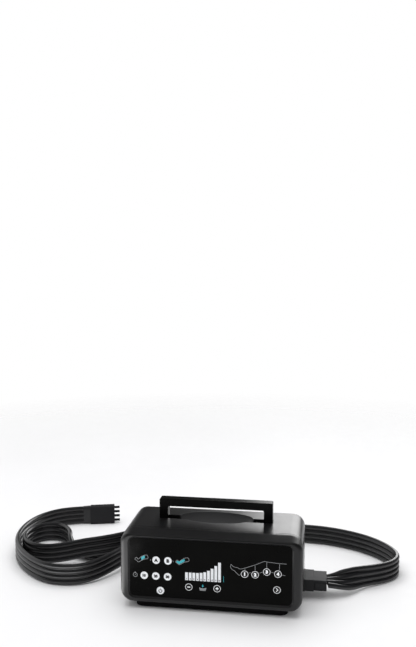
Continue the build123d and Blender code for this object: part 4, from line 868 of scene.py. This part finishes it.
def dress_casing(finish, bezel):
    """The bezel and the plinth's skirt, and finishes of the shell, plinth, feet, handle and panel."""
    # The shell's finger scoop gets a painted highlight
    scoop = (SCOOP_LIGHT_CENTRE, SCOOP_LIGHT_REACH, finish.scoop)
    casing = moulded_plastic("casing moulding", finish.casing, 0.3, specular=0.45, scoop=scoop)
    satin = moulded_plastic("bezel moulding", finish.casing, 0.38, specular=0.42)
    # The plinth, and the skirt below it, are 0.45 times as dark as the casing and matt, so the band under
    # the casing is darker
    plinth = moulded_plastic("plinth moulding", shade(finish.casing, 0.45), 0.75, specular=0.1)
    build_bezel(bezel, satin)
    build_skirt(bezel, plinth)
    dress_nodes(casing, "front_bezel", "rear_shell")
    dress_nodes(plinth, "base_plinth")
    handle = moulded_plastic("handle moulding", finish.handle, 0.24, 900.0, depth=0.000008, specular=0.06)
    dress_nodes(handle, "handle")
    dress_nodes(panel_film(finish.panel), "front_panel")
    dress_nodes(rubber("foot rubber", (0.015, 0.015, 0.015)), "feet")


def dress_keys(finish):
    """Finishes of the key caps and the level bars."""
    # The white caps' glow is painted light that brightens them; the black caps get none
    white_cap = key_cap("white cap", finish.key_white, glow=0.2)
    black_cap = key_cap("black cap", finish.key_black, glow=0.0)
    for name in KEYS:
        dress_nodes(white_cap if name in WHITE_KEYS else black_cap, name)
    # The level bars' glow is painted light
    dress_nodes(light_guide(finish.display), "level_bars")


def dress_plug(finish):
    """Finishes of the plug, its latch, the port, the splitter, the connectors and the inlet."""
    plastic = moulded_plastic("plug moulding", finish.plug, 0.45, 1400.0, depth=0.000015, specular=0.05)
    connectors = ("sleeve_connector_a", "sleeve_connector_b")
    dress_nodes(plastic, "hose_port", "hose_plug", "plug_latch", "hose_splitter", *connectors)
    dress_nodes(moulded_plastic("inlet moulding", shade(finish.plug, 0.8), 0.5), "mains_inlet")


def dress_inside():
    """Finishes of everything inside the casing, and of the fasteners."""
    steel = metal("zinc plated steel", (0.56, 0.56, 0.58), 0.3)
    dress_nodes(steel, "casing_screws", "board_screws", "foot_screws", "guide_screws", "handle_stop_pins")
    dress_nodes(steel, "magnet_rod", "valve_motor")
    dress_nodes(metal("nickel brass", (0.72, 0.60, 0.38), 0.22), "inlet_pins")
    dress_nodes(metal("enamelled copper", (0.62, 0.27, 0.13), 0.34, (1.0, 6.0, 1.0)), "compressor_coils")
    dress_nodes(metal("die cast aluminium", (0.62, 0.63, 0.65), 0.42), "chassis_plate", "compressor_body")
    nylon = moulded_plastic("natural nylon", (0.62, 0.61, 0.56), 0.45)
    dress_nodes(nylon, "handle_guides", "compressor_heads", "valve_block", "valve_rotor")
    dress_nodes(rubber("damper rubber", (0.03, 0.03, 0.03)), "diaphragms", "compressor_mounts")
    silicone = rubber("silicone", (0.48, 0.49, 0.50))
    dress_nodes(silicone, "key_mat", "chamber_tubes", "supply_tube", "sensor_tube")
    dress_nodes(circuit_board(), "control_board", "power_board")
    dress_nodes(moulded_plastic("sensor moulding", (0.03, 0.03, 0.03), 0.5), "pressure_sensor")


# How far a collar stands out past the ribbon's width and thickness, in millimetres, at its two ends
COLLAR_SNUG, COLLAR_THICK = (0.15, 0.5), (0.3, 1.4)


def build_hoses(hose, finish):
    """The three ribbons with their collars."""
    vinyl = hose_vinyl(hose.colour)
    plastic = moulded_plastic("collar moulding", finish.plug, 0.45, grain=1600.0)
    half_width = (TUBES - 1) / 2 * hose.tube_pitch + hose.tube_diameter / 2
    snug, thick = (
        np.array([half_width, hose.tube_diameter / 2]) + np.array(growth) * MM
        for growth in (COLLAR_SNUG, COLLAR_THICK)
    )

    def add_collar(name, line, from_end=False):
        """A collar over a ribbon's first stretch, or over its last."""
        return build_collar(name, line, hose.collar_length, thick, snug, plastic, from_end)

    main, *main_line = build_ribbon("hose_main", MAIN_ROUTE, hose, vinyl)
    collar = add_collar("splitter_inlet_collar", main_line, from_end=True)
    for end, route in (("a", BRANCH_A_ROUTE), ("b", BRANCH_B_ROUTE)):
        branch, *line = build_ribbon(f"hose_branch_{end}", route, hose, vinyl)
        start_collar = add_collar(f"splitter_outlet_collar_{end}", line)
        end_collar = add_collar(f"connector_collar_{end}", line, from_end=True)


# --- stage
# Floor: the radii between which it fades out, its middle face's radius, and how far it lies below zero
FLOOR_FADE = (0.75, 1.7)
FLOOR_MIDDLE = 0.1
FLOOR_DROP = 0.0003
# Lights: the setting that holds the power, the place, the point it faces, its width and height, and
# whether it is only seen mirrored in glossy surfaces or else only lights matt ones
LIGHTS = {
    "overhead_softbox": ("overhead_power", (-0.2, 0.1, 2.2), (0.0, 0.0, 0.0), (2.6, 2.2), False),
    "side_card": ("side_power", (-1.3, 0.5, 0.5), (0.0, 0.0, 0.1), (2.2, 1.0), True),
    "floor_card": ("floor_power", (-0.33, -0.17, 0.002), (-0.33, -0.17, 1.0), (0.34, 0.26), True),
    "top_card": ("top_power", (0.0, -0.25, 1.6), (0.0, 0.0, 0.1), (1.4, 0.9), True),
    "back_card": ("card_power", (0.55, 2.0, 0.95), (0.05, 0.0, 0.1), (1.4, 1.2), True),
}


def build_floor(colour, rings=12, around=96):
    """Round floor: rings of points on circles, whose cover fades out with their distance from the middle."""
    radii = np.linspace(FLOOR_MIDDLE, FLOOR_FADE[1], rings)
    flat = radii[:, None, None] * circling(np.linspace(0.0, 2 * np.pi, around, endpoint=False))
    ring, step = grid_corners(rings, around)
    faces = (ring * around + step % around)[:, ::-1].tolist()
    mesh = bpy.data.meshes.new("floor")
    mesh.from_pydata(joined(*flat.reshape(-1, 2).T, -FLOOR_DROP).tolist(), [], [list(range(around)), *faces])
    finish = Finish("studio paper", colour, 0.7, specular=0.2)
    finish.tones(finish.noise(3.0, 2.0), 0.985, 1.01)
    finish.roughness(finish.noise(40.0, 3.0), 0.62, 0.78)
    finish.set("Alpha", finish.spread(finish.distance(), 1.0, 0.0, *FLOOR_FADE))
    mesh.materials.append(finish.material)
    put_in_scene("floor", mesh)


def add_softbox(name, power, place, aim, size, mirrored):
    """Rectangular light at a place, facing a point."""
    light = bpy.data.lights.new(name, "AREA")
    light.shape = "RECTANGLE"
    light.size, light.size_y = size
    light.energy = power
    holder = put_in_scene(name, light)
    holder.location = place
    holder.rotation_euler = (Vector(aim) - Vector(place)).to_track_quat("-Z", "Y").to_euler()
    holder.visible_camera = False
    holder.visible_glossy = mirrored
    holder.visible_diffuse = not mirrored


def build_sky(stage):
    """Room light: an even glow on matt surfaces, dim where it is mirrored, white where it is seen."""
    world = bpy.data.worlds.new("studio")
    world.use_nodes = True
    tree = world.node_tree
    tree.nodes.clear()
    ray = add_node(tree, "ShaderNodeLightPath")
    shown = add_node(tree, "ShaderNodeBackground", {"Color": WHITE, "Strength": stage.room_glow})
    for test, strength in (("Is Glossy Ray", stage.room_mirrored), ("Is Camera Ray", 1.0)):
        other = add_node(tree, "ShaderNodeBackground", {"Color": WHITE, "Strength": strength})
        mixed = {"Fac": ray.outputs[test], 1: shown.outputs[0], 2: other.outputs[0]}
        shown = add_node(tree, "ShaderNodeMixShader", mixed)
    add_node(tree, "ShaderNodeOutputWorld", {"Surface": shown.outputs[0]})
    bpy.context.scene.world = world


def build_camera(stage):
    """Camera that looks level with its heading and down by its pitch."""
    camera = bpy.data.cameras.new("camera")
    camera.sensor_width = 36.0
    camera.lens = stage.focal_length
    camera.clip_start = 0.05
    holder = put_in_scene("camera", camera)
    pitch, heading = stage.camera_pitch, stage.camera_heading
    view = Vector((-np.sin(heading) * np.cos(pitch), np.cos(heading) * np.cos(pitch), -np.sin(pitch)))
    holder.location = stage.camera_place
    holder.rotation_euler = view.to_track_quat("-Z", "Y").to_euler()
    bpy.context.scene.camera = holder


# --- operators
class PUMP_OT_casing(bpy.types.Operator):
    """Form the bezel and the skirt, and give the casing, handle and panel their finishes"""

    bl_idname = "pump.casing"
    bl_label = "Casing"

    def execute(self, context):
        dress_casing(context.scene.pump_finish, context.scene.pump_bezel)
        return {"FINISHED"}


class PUMP_OT_keys(bpy.types.Operator):
    """Give the keys and the level bars their finishes, and put the legends on the keys"""

    bl_idname = "pump.keys"
    bl_label = "Keys"

    def execute(self, context):
        dress_keys(context.scene.pump_finish)
        build_legends(context.scene.pump_print)
        return {"FINISHED"}


class PUMP_OT_printing(bpy.types.Operator):
    """Print the drawings on the panel"""

    bl_idname = "pump.printing"
    bl_label = "Panel printing"

    def execute(self, context):
        print_panel(context.scene.pump_print)
        return {"FINISHED"}


class PUMP_OT_hoses(bpy.types.Operator):
    """Lay the hose ribbons, with their collars"""

    bl_idname = "pump.hoses"
    bl_label = "Hoses"

    def execute(self, context):
        build_hoses(context.scene.pump_hose, context.scene.pump_finish)
        return {"FINISHED"}


class PUMP_OT_plug(bpy.types.Operator):
    """Give the plug, the port, the splitter, the connectors and the inlet their finishes"""

    bl_idname = "pump.plug"
    bl_label = "Plug and connectors"

    def execute(self, context):
        dress_plug(context.scene.pump_finish)
        return {"FINISHED"}


class PUMP_OT_inside(bpy.types.Operator):
    """Give the inner works and the fasteners their finishes"""

    bl_idname = "pump.inside"
    bl_label = "Inner works"

    def execute(self, context):
        dress_inside()
        return {"FINISHED"}


class PUMP_OT_stage(bpy.types.Operator):
    """Set up the floor, the lights and the camera"""

    bl_idname = "pump.stage"
    bl_label = "Studio"

    def execute(self, context):
        stage = context.scene.pump_stage
        build_floor(stage.floor)
        build_sky(stage)
        for name, (power, *form) in LIGHTS.items():
            add_softbox(name, getattr(stage, power), *form)
        build_camera(stage)
        context.scene.view_settings.view_transform = "Standard"
        return {"FINISHED"}


class PUMP_PT_sidebar(bpy.types.Panel):
    """Lists the pump's operators and settings"""

    bl_label = "Pump"
    bl_space_type = "VIEW_3D"
    bl_region_type = "UI"
    bl_category = "Pump"

    def draw(self, context):
        for operator in OPERATORS:
            self.layout.operator(operator.bl_idname)
        for settings in SETTINGS:
            group = getattr(context.scene, settings)
            for name in group.bl_rna.properties.keys():
                if name not in ("rna_type", "name"):
                    self.layout.prop(group, name)


SETTINGS = {
    "pump_print": PumpPrintSettings,
    "pump_bezel": PumpBezelSettings,
    "pump_hose": PumpHoseSettings,
    "pump_finish": PumpFinishSettings,
    "pump_stage": PumpStageSettings,
}
OPERATORS = (
    PUMP_OT_stage, PUMP_OT_hoses, PUMP_OT_casing, PUMP_OT_keys, PUMP_OT_printing, PUMP_OT_plug,
    PUMP_OT_inside,
)


def register():
    """Registers the settings, the operators and the panel."""
    for name, group in SETTINGS.items():
        bpy.utils.register_class(group)
        setattr(bpy.types.Scene, name, bpy.props.PointerProperty(type=group))
    for kind in (*OPERATORS, PUMP_PT_sidebar):
        bpy.utils.register_class(kind)


def unregister():
    """Takes them out again."""
    for kind in (PUMP_PT_sidebar, *reversed(OPERATORS)):
        bpy.utils.unregister_class(kind)
    for name, group in SETTINGS.items():
        delattr(bpy.types.Scene, name)
        bpy.utils.unregister_class(group)


def main():
    """Builds the whole dressed pump."""
    register()
    for operator in OPERATORS:
        group, name = operator.bl_idname.split(".")
        getattr(getattr(bpy.ops, group), name)()
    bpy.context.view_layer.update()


if __name__ == "__main__":
    main()
